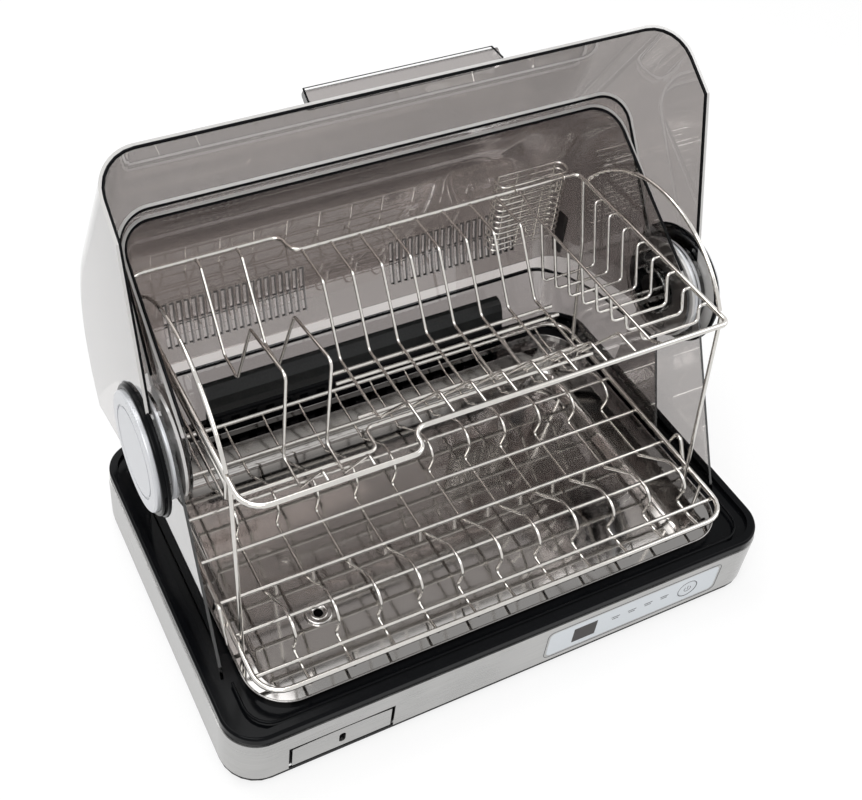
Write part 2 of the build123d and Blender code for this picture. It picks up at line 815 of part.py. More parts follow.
with BuildPart() as air_riser:
    riser_rear = duct_rear - duct_wall - fit_gap
    with BuildSketch(Plane.XY.offset(pan_floor)):
        with Locations((fan_x, (throat_rear + fit_gap + riser_rear) / 2)):
            Rectangle(throat_width, riser_rear - throat_rear - fit_gap)
    extrude(amount=deck_under - pan_floor)
    with BuildSketch(Plane.XY.offset(pan_floor + duct_wall)):
        with Locations((fan_x, (throat_rear + riser_rear) / 2 - duct_wall)):
            Rectangle(throat_width - 2 * duct_wall, riser_rear - throat_rear)
    extrude(amount=fan_shell_top - pan_floor - 2 * duct_wall, mode=Mode.SUBTRACT)
    with BuildSketch(Plane.XY.offset(pan_floor + duct_wall)):
        with Locations((fan_x, (throat_rear + riser_rear) / 2)):
            Rectangle(throat_width - 2 * duct_wall, riser_rear - throat_rear - 2 * duct_wall)
    extrude(amount=deck_under, mode=Mode.SUBTRACT)
air_riser.part.label = "air_riser"
export_step(air_riser.part, "parts/air_riser.step")

# Fixed rear shell, parted along the dark seam into a cover, a seal and a skirt
shell_foot = deck_floor


def rear_curve(radius):
    """The arc of the rear wall and its straight foot; returns rim, arc middle, tangent and foot points."""
    rim = polar(radius, rear_rim_angle)
    bend = polar(radius, rear_tangent_angle)
    middle = polar(radius, (rear_rim_angle + rear_tangent_angle) / 2)
    foot = (bend[0] - (bend[1] - shell_foot) * rear_slope, shell_foot)
    return rim, middle, bend, foot


def draw_rear_outer():
    rim, middle, bend, foot = rear_curve(rear_radius)
    front_foot = (skirt_front, shell_foot)
    boss_top = polar(rear_boss, rear_boss_start_angle)
    boss_low = polar(rear_boss, rear_boss_end_angle)
    ThreePointArc(rim, middle, bend)
    Polyline(bend, foot, front_foot, boss_low)
    ThreePointArc(boss_low, polar(rear_boss, (rear_boss_start_angle + rear_boss_end_angle) / 2), boss_top)
    Line(boss_top, rim)


def draw_rear_inner():
    rim, middle, bend, foot = rear_curve(rear_radius - cover_wall)
    past_rim = polar(rear_radius - cover_wall, rear_rim_angle + rear_boss_start_angle)
    ThreePointArc(past_rim, middle, bend)
    Polyline(bend, foot, (foot[0] - cut_over * rear_slope, shell_foot - cut_over),
             (-base_depth, shell_foot - cut_over), (-base_depth, past_rim[1]), past_rim)


def seam_block(rise):
    """Everything under the seam line, moved up by the rise."""
    with BuildPart() as block:
        with BuildSketch(Plane.YZ.offset(-base_width / 2)):
            with BuildLine():
                Polyline((-base_depth, seam_front_z + rise), (hub_y - rear_boss, seam_front_z + rise),
                         (seam_side_y, seam_side_z + rise), (base_depth / 2, seam_rear_z + rise),
                         (base_depth, seam_rear_z + rise), (base_depth, -cut_over),
                         (-base_depth, -cut_over), close=True)
            make_face()
        extrude(amount=base_width)
    return block.part


outer_points = rear_curve(rear_radius)
inner_points = rear_curve(rear_radius - cover_wall)
foot_mid = tuple((a + b) / 2 for a, b in zip(outer_points[2], outer_points[3]))
inner_foot_mid = tuple((a + b) / 2 for a, b in zip(inner_points[2], inner_points[3]))
rear_blank = prism(draw_rear_outer, rear_half, (outer_points[1], foot_mid), rear_corner)
rear_core = prism(draw_rear_inner, rear_half - cover_wall, (inner_points[1], inner_foot_mid),
                  rear_corner - cover_wall)
with BuildPart() as rear_shell:
    add(rear_blank)
    add(rear_core, mode=Mode.SUBTRACT)
    with BuildSketch(Plane.YZ.offset(-base_width / 2)):
        with Locations((hub_y, hub_z)):
            Circle(pin_radius + fit_gap)
    extrude(amount=base_width, mode=Mode.SUBTRACT)
below_seam = seam_block(0)
below_cover = seam_block(seam_height)

vent_row = (vent_high - vent_low + vent_rib) / 2
with BuildPart() as rear_cover:
    add(rear_shell.part)
    add(below_cover, mode=Mode.SUBTRACT)
    with BuildSketch(Plane.XZ.offset(-hub_y)):
        for vent_x in (vent_left_x, vent_right_x):
            with Locations((vent_x, (vent_low + vent_high) / 2)):
                with GridLocations(vent_pitch, vent_row, vent_slots, 2):
                    Rectangle(vent_width, vent_row - vent_rib)
    extrude(amount=-base_depth, mode=Mode.SUBTRACT)
rear_cover.part.label = "rear_cover"
export_step(rear_cover.part, "parts/rear_cover.step")

with BuildPart() as cover_seal:
    add(rear_shell.part)
    add(below_cover, mode=Mode.INTERSECT)
    add(below_seam, mode=Mode.SUBTRACT)
cover_seal.part.label = "cover_seal"
export_step(cover_seal.part, "parts/cover_seal.step")

with BuildPart() as rear_skirt:
    add(rear_shell.part)
    add(below_seam, mode=Mode.INTERSECT)
rear_skirt.part.label = "rear_skirt"
export_step(rear_skirt.part, "parts/rear_skirt.step")

# Middle cover: a turned sector with a bored disc on each side
mid_normal = (0, -sin(radians(mid_low_angle)), cos(radians(mid_low_angle)))
mid_plane = Plane(origin=(0, hub_y, hub_z), x_dir=(1, 0, 0), z_dir=mid_normal)
with BuildPart() as mid_cover:
    with BuildSketch(mid_plane):
        RectangleRounded(2 * mid_half, 2 * mid_radius, mid_corner)
        RectangleRounded(2 * (mid_half - cover_wall), 2 * (mid_radius - cover_wall),
                         mid_corner - cover_wall, mode=Mode.SUBTRACT)
        with Locations((0, mid_radius / 2 + pin_radius)):
            Rectangle(2 * mid_half, mid_radius, mode=Mode.INTERSECT)
    revolve(axis=Axis((0, hub_y, hub_z), (1, 0, 0)), revolution_arc=mid_rim_angle - mid_low_angle)
    for side in (-1, 1):
        with BuildSketch(Plane.YZ.offset(side * mid_half)):
            with Locations((hub_y, hub_z)):
                Circle(mid_boss)
        extrude(amount=-side * cover_wall)
    with BuildSketch(Plane.YZ.offset(-base_width / 2)):
        with Locations((hub_y, hub_z)):
            Circle(pin_radius + pin_bore_gap)
    extrude(amount=base_width, mode=Mode.SUBTRACT)
mid_cover.part.label = "mid_cover"
export_step(mid_cover.part, "parts/mid_cover.step")


# Front cover: arc, straight front panel, pointed sides and a grip on the leading edge
front_bend = lead_angle - degrees(acos(front_radius / lead_reach))


def front_curve(inset):
    """Trailing end, arc middle, bend and leading point of the front cover's wall."""
    radius = front_radius - inset
    lead_y, lead_z = polar(lead_reach, lead_angle)
    lead = (lead_y - inset * cos(radians(front_bend)), lead_z - inset * sin(radians(front_bend)))
    middle = polar(radius, (front_trail_angle + front_bend) / 2)
    return polar(radius, front_trail_angle), middle, polar(radius, front_bend), lead


def draw_front_outer():
    trail, middle, bend, lead = front_curve(0)
    tip = polar(tip_reach, tip_angle)
    boss_top = polar(front_boss, front_boss_start_angle)
    boss_low = polar(front_boss, front_boss_end_angle)
    ThreePointArc(trail, middle, bend)
    Polyline(bend, lead, tip, boss_top)
    ThreePointArc(boss_top, polar(front_boss, (front_boss_start_angle + front_boss_end_angle) / 2), boss_low)
    Line(boss_low, trail)


def draw_front_inner():
    trail, middle, bend, lead = front_curve(cover_wall)
    past_angle = front_trail_angle - tip_angle
    past_trail = polar(front_radius - cover_wall, past_angle)
    past_knee = polar(front_radius - front_boss, past_angle)
    along, across = cos(radians(front_bend)), sin(radians(front_bend))
    past_lead = (lead[0] - across * front_corner, lead[1] + along * front_corner)
    far = (past_lead[0] - along * base_width, past_lead[1] - across * base_width)
    ThreePointArc(past_trail, middle, bend)
    Polyline(bend, past_lead, far, (far[0], past_knee[1]), past_knee, past_trail)


front_outer = front_curve(0)
front_inner = front_curve(cover_wall)
panel_mid = tuple((a + b) / 2 for a, b in zip(front_outer[2], front_outer[3]))
inner_panel_mid = tuple((a + b) / 2 for a, b in zip(front_inner[2], front_inner[3]))
front_blank = prism(draw_front_outer, front_half, (front_outer[1], panel_mid), front_corner)
front_core = prism(draw_front_inner, front_half - cover_wall, (front_inner[1], inner_panel_mid),
                   front_corner - cover_wall)
lead_y, lead_z = front_outer[3]
grip_outward = (0, cos(radians(front_bend)), sin(radians(front_bend)))
grip_plane = Plane(origin=(-grip_half, lead_y, lead_z), x_dir=grip_outward, z_dir=(1, 0, 0))
with BuildPart() as front_cover:
    add(front_blank)
    add(front_core, mode=Mode.SUBTRACT)
    with BuildSketch(Plane.YZ.offset(-base_width / 2)):
        with Locations((hub_y, hub_z)):
            Circle(pin_radius + pin_bore_gap)
    extrude(amount=base_width, mode=Mode.SUBTRACT)
    with BuildSketch(grip_plane):
        with Locations((grip_reach / 2 - cover_wall, -grip_thick / 2)):
            RectangleRounded(grip_reach + cover_wall, grip_thick, grip_round)
    extrude(amount=2 * grip_half)
front_cover.part.label = "front_cover"
export_step(front_cover.part, "parts/front_cover.step")


def disc(inner_x, outer_x, radius, bore=0.0):
    """A disc or ring about the hinge axis."""
    with BuildPart() as blank:
        with BuildSketch(Plane.YZ.offset(inner_x)):
            with Locations((hub_y, hub_z)):
                Circle(radius)
                if bore > 0:
                    Circle(bore, mode=Mode.SUBTRACT)
        extrude(amount=outer_x - inner_x)
    return blank.part


# Hinge stack of each side, from the inner cap to the outer disc
for name, side in (("left", -1), ("right", 1)):
    with BuildPart() as side_guard:
        with BuildSketch(Plane.YZ.offset(side * guard_inner)):
            with BuildLine():
                boss_front = polar(rear_boss, guard_front_angle)
                boss_rear = polar(rear_boss, guard_rear_angle)
                boss_top = polar(rear_boss, (guard_front_angle + guard_rear_angle) / 2 - 2 * QUARTER)
                Polyline(boss_front, (guard_tip_y, shell_foot), (guard_rear_y, shell_foot), boss_rear)
                ThreePointArc(boss_rear, boss_top, boss_front)
            make_face()
            with Locations((hub_y, hub_z)):
                Circle(pin_radius + fit_gap, mode=Mode.SUBTRACT)
        extrude(amount=side * guard_wall)
    side_guard.part.label = f"side_guard_{name}"
    export_step(side_guard.part, f"parts/side_guard_{name}.step")

    with BuildPart() as hinge_pin:
        add(disc(side * pin_inner, side * pin_outer, pin_radius))
        add(disc(side * (rear_half - cover_wall), side * (rear_half - cover_wall - pin_head),
                 pin_head_radius))
        add(disc(side * (mid_half + run_gap), side * guard_inner, shim_radius))
    hinge_pin.part.label = f"hinge_pin_{name}"
    export_step(hinge_pin.part, f"parts/hinge_pin_{name}.step")

    with BuildPart() as silver_ring:
        add(disc(side * (guard_inner + guard_wall), side * ring_outer, ring_radius, ring_bore))
        ring_edge = silver_ring.edges().sort_by_distance((side * base_width, hub_y, hub_z + ring_radius))[0]
        fillet(ring_edge, cap_round)
    silver_ring.part.label = f"silver_ring_{name}"
    export_step(silver_ring.part, f"parts/silver_ring_{name}.step")

    with BuildPart() as hub_drum:
        add(disc(side * ring_outer, side * drum_outer, drum_radius, drum_bore))
        add(disc(side * (guard_inner + guard_wall), side * ring_outer, ring_bore - fit_gap, drum_bore))
        with BuildSketch(Plane.YZ.offset(side * ring_outer)):
            with Locations((hub_y, hub_z)):
                with PolarLocations((drum_radius + drum_bore) / 2, drum_windows):
                    Rectangle(drum_radius - drum_bore - guard_wall, drum_window)
        extrude(amount=side * (drum_outer - ring_outer), mode=Mode.SUBTRACT)
    hub_drum.part.label = f"hub_drum_{name}"
    export_step(hub_drum.part, f"parts/hub_drum_{name}.step")

    with BuildPart() as hub_trim:
        add(disc(side * front_half, side * trim_outer, trim_radius, trim_bore))
        trim_edge = hub_trim.edges().sort_by_distance((side * base_width, hub_y, hub_z + trim_radius))[0]
        fillet(trim_edge, cap_round)
    hub_trim.part.label = f"hub_trim_{name}"
    export_step(hub_trim.part, f"parts/hub_trim_{name}.step")

    with BuildPart() as hub_cap:
        add(disc(side * front_half, side * cap_outer, cap_radius))
        far_out = (side * base_width, hub_y, hub_z)
        rim_edge = hub_cap.faces().filter_by(Axis.X).sort_by_distance(far_out)[0].edges()
        fillet(rim_edge, cap_round)
        with BuildSketch(Plane.YZ.offset(side * cap_outer)):
            with Locations((hub_y, hub_z)):
                Circle(cap_radius * groove_outer_share)
                Circle(cap_radius * groove_inner_share, mode=Mode.SUBTRACT)
        extrude(amount=-side * cap_groove, mode=Mode.SUBTRACT)
        with BuildSketch(Plane.YZ.offset(side * front_half)):
            with Locations((hub_y, hub_z)):
                Circle(cap_socket)
        extrude(amount=side * (pin_outer + cap_round - front_half), mode=Mode.SUBTRACT)
    hub_cap.part.label = f"hub_cap_{name}"
    export_step(hub_cap.part, f"parts/hub_cap_{name}.step")

    with BuildPart() as inner_cap:
        add(disc(side * (rear_half - cover_wall), side * inner_cap_face, inner_cap_radius))
        with BuildSketch(Plane.YZ.offset(side * (rear_half - cover_wall))):
            with Locations((hub_y, hub_z)):
                Circle(pin_head_radius + fit_gap)
        extrude(amount=-side * (rear_half - cover_wall - pin_inner + fit_gap), mode=Mode.SUBTRACT)
        fillet(inner_cap.edges().sort_by_distance((0, hub_y, hub_z + inner_cap_radius))[0], cap_round)
    inner_cap.part.label = f"inner_cap_{name}"
    export_step(inner_cap.part, f"parts/inner_cap_{name}.step")

with BuildPart() as hinge_screws:
    for side in (-1, 1):
        with BuildSketch(Plane.YZ.offset(side * inner_cap_face)):
            with Locations((hub_y, hub_z)):
                with PolarLocations(inner_cap_screw_radius, inner_cap_screws, start_angle=QUARTER):
                    Circle(screw_head_radius)
        extrude(amount=-side * screw_head)
hinge_screws.part.label = "hinge_screws"
export_step(hinge_screws.part, "parts/hinge_screws.step")

# Lower rack frame: rim and cross wires in one weldment
cross_z = low_z - rim_wire - cross_wire + weld_sink
basin_lip_top = deck_floor + basin_sheet
low_rim = strand([(-low_half, low_front, low_z), (low_half, low_front, low_z), (low_half, low_rear, low_z),
                  (-low_half, low_rear, low_z)], rim_wire, low_corner, closed=True)
low_cross = [strand([(-low_half - cross_wire, y, cross_z), (low_half + cross_wire, y, cross_z)], cross_wire)
             for y in low_cross_ys]
with BuildPart() as lower_rack_frame:
    add(low_rim)
    add(low_cross)
lower_rack_frame.part.label = "lower_rack_frame"
export_step(lower_rack_frame.part, "parts/lower_rack_frame.step")

# Feet under the lower rim and the two loops that steady the upper rack's legs
bead_top = basin_lip_top + 2 * basin_bead
loop_x = low_half + rim_wire + cross_wire + weld_gap
low_feet = [strand([(side * low_half, y, low_z - rim_wire - weld_gap),
                    (side * low_half, y, basin_lip_top + weld_gap)],
                   cross_wire)
            for side in (-1, 1) for y in (low_front + low_leg_inset, low_rear - low_leg_inset)]
low_feet += [strand([(side * loop_x, loop_rear, low_z), (side * loop_x, loop_top_y, loop_top_z),
                     (side * loop_x, loop_foot_y, bead_top + loop_foot_gap)], cross_wire)
             for side in (-1, 1)]
with BuildPart() as lower_rack_feet:
    add(low_feet)
lower_rack_feet.part.label = "lower_rack_feet"
export_step(lower_rack_feet.part, "parts/lower_rack_feet.step")

# Wavy plate wires under the cross wires, each with two crests
wave_z = cross_z - cross_wire - thin_wire - weld_gap
end_z = low_z - rim_wire - thin_wire - wave_end_drop
wave_xs = [wave_shift + (i - (wave_count - 1) / 2) * wave_pitch for i in range(wave_count)]


def crest(front):
    """Bends of one crest, from its foot at the back to its drop at the front."""
    return [(front + wave_run, wave_z),
            (front + wave_run * wave_lead_share, wave_z + wave_rise - fine_wire),
            (front + wave_crown, wave_z + wave_rise), (front, wave_z + wave_rise * wave_lead_share),
            (front, wave_z + thin_wire), (front - prong_back, wave_z)]


wave_path = [(low_rear, end_z), (low_rear - wave_crown, wave_z)] + crest(wave_front + wave_step)
wave_path += crest(wave_front) + [(low_cross_ys[0] - wave_crown / 2, wave_z), (low_front, end_z)]
waves = [strand([(x, y, z) for y, z in wave_path], thin_wire) for x in wave_xs]
with BuildPart() as plate_waves:
    add(waves)
plate_waves.part.label = "plate_waves"
export_step(plate_waves.part, "parts/plate_waves.step")

# Short prongs welded beside the crests
prong_side = 2 * thin_wire + weld_gap
prongs = [strand([(x + prong_side, front + prong_back, wave_z + wave_rise * wave_lead_share),
                  (x + prong_side, front, wave_z + wave_rise),
                  (x + prong_side, front - prong_reach, wave_z + wave_rise + prong_rise)], thin_wire)
          for x in wave_xs for front in (wave_front, wave_front + wave_step)]
with BuildPart() as plate_prongs:
    add(prongs)
plate_prongs.part.label = "plate_prongs"
export_step(plate_prongs.part, "parts/plate_prongs.step")

# Upper rack frame with its jogged rails
up_loop = [(-up_half, up_front_left, up_z), (jog_x, up_front_left, up_z), (jog_x, up_front, up_z),
           (up_half, up_front, up_z), (up_half, up_rear, up_z), (jog_x, up_rear, up_z),
           (jog_x, up_rear_left, up_z), (-up_half, up_rear_left, up_z)]
up_bends = [up_corner, jog_round, jog_round, up_corner, up_corner, jog_round, jog_round, up_corner]
up_rail = strand(up_loop, rim_wire, up_bends, closed=True)
leg_z = basin_lip_top + leg_foot_gap
up_legs = []
for side in (-1, 1):
    leg_x = side * (low_half - rim_wire - cross_wire - run_gap)
    up_legs.append(strand([(leg_x, leg_front_top, up_z), (leg_x, leg_front_foot, leg_z)], cross_wire))
    up_legs.append(strand([(leg_x, leg_rear_top, up_z), (leg_x, leg_rear_knee, leg_knee_z),
                           (leg_x, leg_rear_foot, leg_z)], cross_wire))
with BuildPart() as upper_rack_frame:
    add(up_rail)
    add(up_legs)
upper_rack_frame.part.label = "upper_rack_frame"
export_step(upper_rack_frame.part, "parts/upper_rack_frame.step")

# Carrying arches over the two ends of the upper rack
arch_z = up_z + rim_wire + arch_drop
with BuildPart() as rack_arches:
    for side in (-1, 1):
        with BuildLine() as arch_path:
            ThreePointArc((side * up_half, arch_front, arch_z),
                          (side * up_half, (arch_front + arch_rear) / 2, arch_z + arch_rise),
                          (side * up_half, arch_rear, arch_z))
        with BuildSketch(Plane(origin=arch_path.line @ 0, z_dir=arch_path.line % 0)):
            RegularPolygon(cross_wire, WIRE_SIDES)
        sweep(path=arch_path.line)
rack_arches.part.label = "rack_arches"
export_step(rack_arches.part, "parts/rack_arches.step")

# Plate dividers of the upper rack
rail_reach = rim_wire + weld_gap
divider_path = [(up_rear - rail_reach, up_z), (divider_rear, up_z), (divider_floor_rear, floor_z),
                (divider_floor_front, floor_z), (divider_front, up_z), (up_front + rail_reach, up_z)]
divider_xs = [divider_first + i * divider_pitch for i in range(divider_count)]
dividers = [strand([(x, y, z) for y, z in divider_path], thin_wire) for x in divider_xs]
with BuildPart() as plate_dividers:
    add(dividers)
plate_dividers.part.label = "plate_dividers"
export_step(plate_dividers.part, "parts/plate_dividers.step")

# Cross wires under the upper rack's floor, the front one jogged
under_z = floor_z - thin_wire - floor_wire - weld_gap
floor_wires = [strand([(floor_left_x, y, under_z), (floor_end_right, y, under_z)], floor_wire)
               for y in floor_ys]
floor_wires.append(strand([(floor_end_left, floor_front_left, under_z),
                           (floor_left_x, floor_front_left, under_z),
                           (floor_left_x, floor_front, under_z), (floor_end_right, floor_front, under_z)],
                          floor_wire, jog_round))
with BuildPart() as rack_floor_wires:
    add(floor_wires)
rack_floor_wires.part.label = "rack_floor_wires"
export_step(rack_floor_wires.part, "parts/rack_floor_wires.step")

# Cup posts of the upper rack's left end
post_path = [(up_front_left + rail_reach, up_z), (up_front_left + wave_crown, up_z),
             (floor_front_left - wave_crown, floor_z), (post_y, floor_z), (post_y, post_top),
             (post_back_y, post_back_top), (post_foot_y, floor_z), (post_rear_y, floor_z),
             (up_rear_left - wave_crown, up_z), (up_rear_left - rail_reach, up_z)]
posts = [strand([(x, y, z) for y, z in post_path], thin_wire) for x in post_xs]
with BuildPart() as cup_posts:
    add(posts)
cup_posts.part.label = "cup_posts"
export_step(cup_posts.part, "parts/cup_posts.step")

# Sloping tray of hoops at the upper rack's right end
hoop_reach = (hoop_count - 1) * hoop_pitch
hoops = []
for i in range(hoop_count):
    hoop_y = hoop_front + i * hoop_pitch
    hoop_z = hoop_low_front + (hoop_low_rear - hoop_low_front) * i / (hoop_count - 1)
    hoops.append(strand([(hoop_left, hoop_y, hoop_top), (hoop_left, hoop_y, hoop_z),
                         (hoop_right, hoop_y, hoop_z), (hoop_right, hoop_y, up_z),
                         (up_half - rail_reach, hoop_y, up_z)], thin_wire))
with BuildPart() as shelf_hoops:
    add(hoops)
shelf_hoops.part.label = "shelf_hoops"
export_step(shelf_hoops.part, "parts/shelf_hoops.step")

hoop_rail_z = hoop_top + thin_wire + weld_gap
with BuildPart() as shelf_rail:
    add(strand([(hoop_left, up_front + rail_reach, up_z), (hoop_left, hoop_front - wave_crown, hoop_rail_z),
                (hoop_left, hoop_front + hoop_reach + wave_crown, hoop_rail_z),
                (hoop_left, up_rear - rail_reach, up_z)], thin_wire))
shelf_rail.part.label = "shelf_rail"
export_step(shelf_rail.part, "parts/shelf_rail.step")

# Cutlery cage hung on the rear rail: level hoops, bars that carry them underneath, and two hooks
cage_front = up_rear + rim_wire + thin_wire + weld_gap
cage_loop = [(cage_left, cage_front), (cage_right, cage_front), (cage_right, cage_rear),
             (cage_left, cage_rear)]
cage_wires = []
for i in range(cage_hoops):
    hoop_z = cage_low + (cage_high - cage_low) * i / (cage_hoops - 1)
    hoop_wire = fine_wire if i < cage_hoops - 1 else thin_wire
    cage_wires.append(strand([(x, y, hoop_z) for x, y in cage_loop], hoop_wire, cage_round, closed=True))
cage_inset = 2 * fine_wire - weld_sink
hook_front = up_rear - rim_wire - fine_wire - weld_gap
hook_top = up_z + rim_wire + fine_wire + weld_gap
for i in range(cage_bars):
    bar_x = cage_left + cage_round + (cage_width - 2 * cage_round) * i / (cage_bars - 1)
    cage_wires.append(strand([(bar_x, cage_front + cage_inset, cage_high),
                              (bar_x, cage_front + cage_inset, cage_low),
                              (bar_x, cage_rear - cage_inset, cage_low),
                              (bar_x, cage_rear - cage_inset, cage_high)], fine_wire))
for hook_x in (cage_left + cage_hook_inset, cage_right - cage_hook_inset):
    cage_wires.append(strand([(hook_x, cage_front + cage_inset, up_z - cage_hook_drop),
                              (hook_x, cage_front + cage_inset, hook_top), (hook_x, hook_front, hook_top),
                              (hook_x, hook_front, up_z)], fine_wire))
with BuildPart() as cutlery_cage:
    add(cage_wires)
cutlery_cage.part.label = "cutlery_cage"
export_step(cutlery_cage.part, "parts/cutlery_cage.step")
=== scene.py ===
import math

import bmesh
import bpy
from mathutils import Euler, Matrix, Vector


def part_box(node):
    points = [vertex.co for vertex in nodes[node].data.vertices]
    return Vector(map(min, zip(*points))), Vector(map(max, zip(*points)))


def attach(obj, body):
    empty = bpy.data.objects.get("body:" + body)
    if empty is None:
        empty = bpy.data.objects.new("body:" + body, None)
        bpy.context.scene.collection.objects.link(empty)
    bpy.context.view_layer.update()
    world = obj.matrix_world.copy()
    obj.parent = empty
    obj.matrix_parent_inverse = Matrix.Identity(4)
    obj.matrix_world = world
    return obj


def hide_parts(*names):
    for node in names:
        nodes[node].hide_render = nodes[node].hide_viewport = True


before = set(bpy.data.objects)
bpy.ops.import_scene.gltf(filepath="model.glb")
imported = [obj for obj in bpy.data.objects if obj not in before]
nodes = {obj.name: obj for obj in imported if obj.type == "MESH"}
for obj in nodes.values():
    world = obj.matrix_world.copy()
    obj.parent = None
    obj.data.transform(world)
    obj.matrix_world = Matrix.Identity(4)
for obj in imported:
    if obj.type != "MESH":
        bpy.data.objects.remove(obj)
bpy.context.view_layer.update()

MM = 0.001
SIDES = (-1, 1)
scene = bpy.context.scene
scene.view_settings.view_transform = "Standard"


# Node trees

NOISE_ROUGHNESS = 0.55
NOISE_RANGE = (0.3, 0.7)


def new_material(name):
    """A new material, its node tree and its principled shader."""
    material = bpy.data.materials.new(name)
    material.use_nodes = True
    tree = material.node_tree
    return material, tree, tree.nodes["Principled BSDF"]


def fill(tree, node, values):
    """Sets each input to its value, or links it where the value is the output of another node."""
    for key, value in values.items():
        if isinstance(value, bpy.types.NodeSocket):
            tree.links.new(value, node.inputs[key])
        else:
            node.inputs[key].default_value = value


def noise_of(tree, coords, scale, detail, stretch=(1, 1, 1)):
    """Noise in the part's own frame, stretched along an axis where asked."""
    mapping = tree.nodes.new("ShaderNodeMapping")
    fill(tree, mapping, {"Vector": coords, "Scale": stretch})
    noise = tree.nodes.new("ShaderNodeTexNoise")
    fill(tree, noise, {"Vector": mapping.outputs["Vector"], "Scale": scale, "Detail": detail,
                       "Roughness": NOISE_ROUGHNESS})
    return noise.outputs["Fac"]


def span(tree, value, low, high, first=NOISE_RANGE[0], last=NOISE_RANGE[1]):
    """A value that runs from low to high while the given one runs from first to last."""
    node = tree.nodes.new("ShaderNodeMapRange")
    fill(tree, node, {"Value": value, "From Min": first, "From Max": last, "To Min": low, "To Max": high})
    return node.outputs["Result"]


def maths(tree, kind, *values):
    node = tree.nodes.new("ShaderNodeMath")
    node.operation = kind
    fill(tree, node, dict(enumerate(values)))
    return node.outputs[0]


def chain(tree, kind, value, *others):
    """The values joined one after the other by the same operation."""
    for other in others:
        value = maths(tree, kind, value, other)
    return value


def split_of(tree, vector):
    """The X, Y and Z outputs of a vector."""
    split = tree.nodes.new("ShaderNodeSeparateXYZ")
    fill(tree, split, {"Vector": vector})
    return split.outputs


def shade(color, share=1.0):
    return (*[min(1, c * share) for c in color], 1)


def mixed(tree, first, mask, second):
    """The first colour, with the second laid over it where the mask is one."""
    mix = tree.nodes.new("ShaderNodeMix")
    mix.data_type = "RGBA"
    fill(tree, mix, {"A": first, "B": second, "Factor": mask})
    return mix.outputs["Result"]


# Opaque finishes

PATCH_SCALE, PATCH_DETAIL, GRAIN_DETAIL = 14.0, 2.0, 4.0
DRIFT = (0.35, 0.65)
LEAST_ROUGH = 0.02


def surface(name, color, rough, metal, vary, rough_vary, grain, bump, stretch=(1, 1, 1), specular=0.5,
            rim=None):
    """Colour and roughness that drift a little, with a fine grain in the surface.

    The rim gives two heights in millimetres and the darker colour that the colour takes on between them, a
    painted shade that stands in for a dark reflection.
    """
    material, tree, shader = new_material(name)
    coords = tree.nodes.new("ShaderNodeTexCoord").outputs["Object"]
    wide = noise_of(tree, coords, PATCH_SCALE, PATCH_DETAIL)
    fine = noise_of(tree, coords, grain, GRAIN_DETAIL, stretch)
    both = maths(tree, "ADD", maths(tree, "MULTIPLY", wide, 0.5), maths(tree, "MULTIPLY", fine, 0.5))
    shown = mixed(tree, shade(color, 1 - vary), span(tree, both, 0.0, 1.0, *DRIFT), shade(color, 1 + vary))
    # Painted shade between the rim's heights, standing in for a dark reflection.
    if rim is not None:
        low, high, rim_painted_shade = rim
        height = split_of(tree, coords)["Z"]
        shown = mixed(tree, shown, span(tree, height, 0.0, 1.0, low * MM, high * MM), shade(rim_painted_shade))
    relief = tree.nodes.new("ShaderNodeBump")
    fill(tree, relief, {"Strength": bump, "Distance": MM, "Height": fine})
    least, most = max(LEAST_ROUGH, rough - rough_vary), rough + rough_vary
    fill(tree, shader, {"Metallic": metal, "Specular IOR Level": specular, "Base Color": shown,
                        "Roughness": span(tree, both, least, most, *DRIFT),
                        "Normal": relief.outputs["Normal"]})
    return material


# Smoked plastic

HUB_Y, HUB_Z = 27.7 * MM, 223.3 * MM
SMOKED_IOR, SMOKED_COAT, COAT_ROUGH, COAT_IOR = 1.5, 0.8, 0.012, 1.6
SMOKED_ROUGH, SMOKED_HAZE, SMOKED_PATCH, TINT_DRIFT = 0.016, (0.6, 1.5), 6.0, 0.03
WALL_SHADE_X, WALL_HAZE_X, WALL_GLOSS_X = (0.215, 0.238), (0.18, 0.225), (0.15, 0.20)
WALL_HAZE, WALL_COAT, WALL_SPECULAR = 0.07, 0.1, 0.15
# Colours of the painted highlight on the cut edges and of the painted shade at the vent slots.
EDGE_PAINTED_HIGHLIGHT, SLOT_PAINTED_SHADE = (0.50, 0.49, 0.48), (0.02, 0.018, 0.018)
CUT_DEPTH, LIMIT_DEPTH, CUT_CLEAR = (0.1 * MM, 0.3 * MM), (-0.2 * MM, 0.0), 0.05
VENT_MIDDLES, VENT_PITCH, VENT_COUNT, VENT_WIDTH = (-114.945, 123.918), 7.39625, 20, 3.4
# Vent sizes, with the width and strength of the painted shade lines beside the slots.
VENT_HIGH, VENT_SHADE_WIDTH, VENT_OVERLAP, VENT_SHADE_SHARE = 200.0, 1.3, 0.1, 0.7
VENT_ZONE_LOW, VENT_ZONE_HIGH, VENT_ZONE_Y = 155, 201, 0.17
SIDEWAYS = 0.85


def polar(radius, angle):
    """A point beside the hinge axis in the side view, as (y, z) in metres; the radius is in millimetres."""
    turn = math.radians(angle)
    return HUB_Y + radius * MM * math.cos(turn), HUB_Z + radius * MM * math.sin(turn)


def edge_line(first, second):
    """The line from the first point to the second as (ny, nz, offset), positive on its right hand."""
    dy, dz = second[0] - first[0], second[1] - first[1]
    size = math.hypot(dy, dz)
    ny, nz = dz / size, -dy / size
    return ny, nz, -(ny * first[0] + nz * first[1])


def distance(tree, spot, line):
    """How far a point of the side view lies inside a line."""
    ny, nz, offset = line
    return chain(tree, "ADD", maths(tree, "MULTIPLY", spot["Y"], ny), maths(tree, "MULTIPLY", spot["Z"], nz),
                 offset)


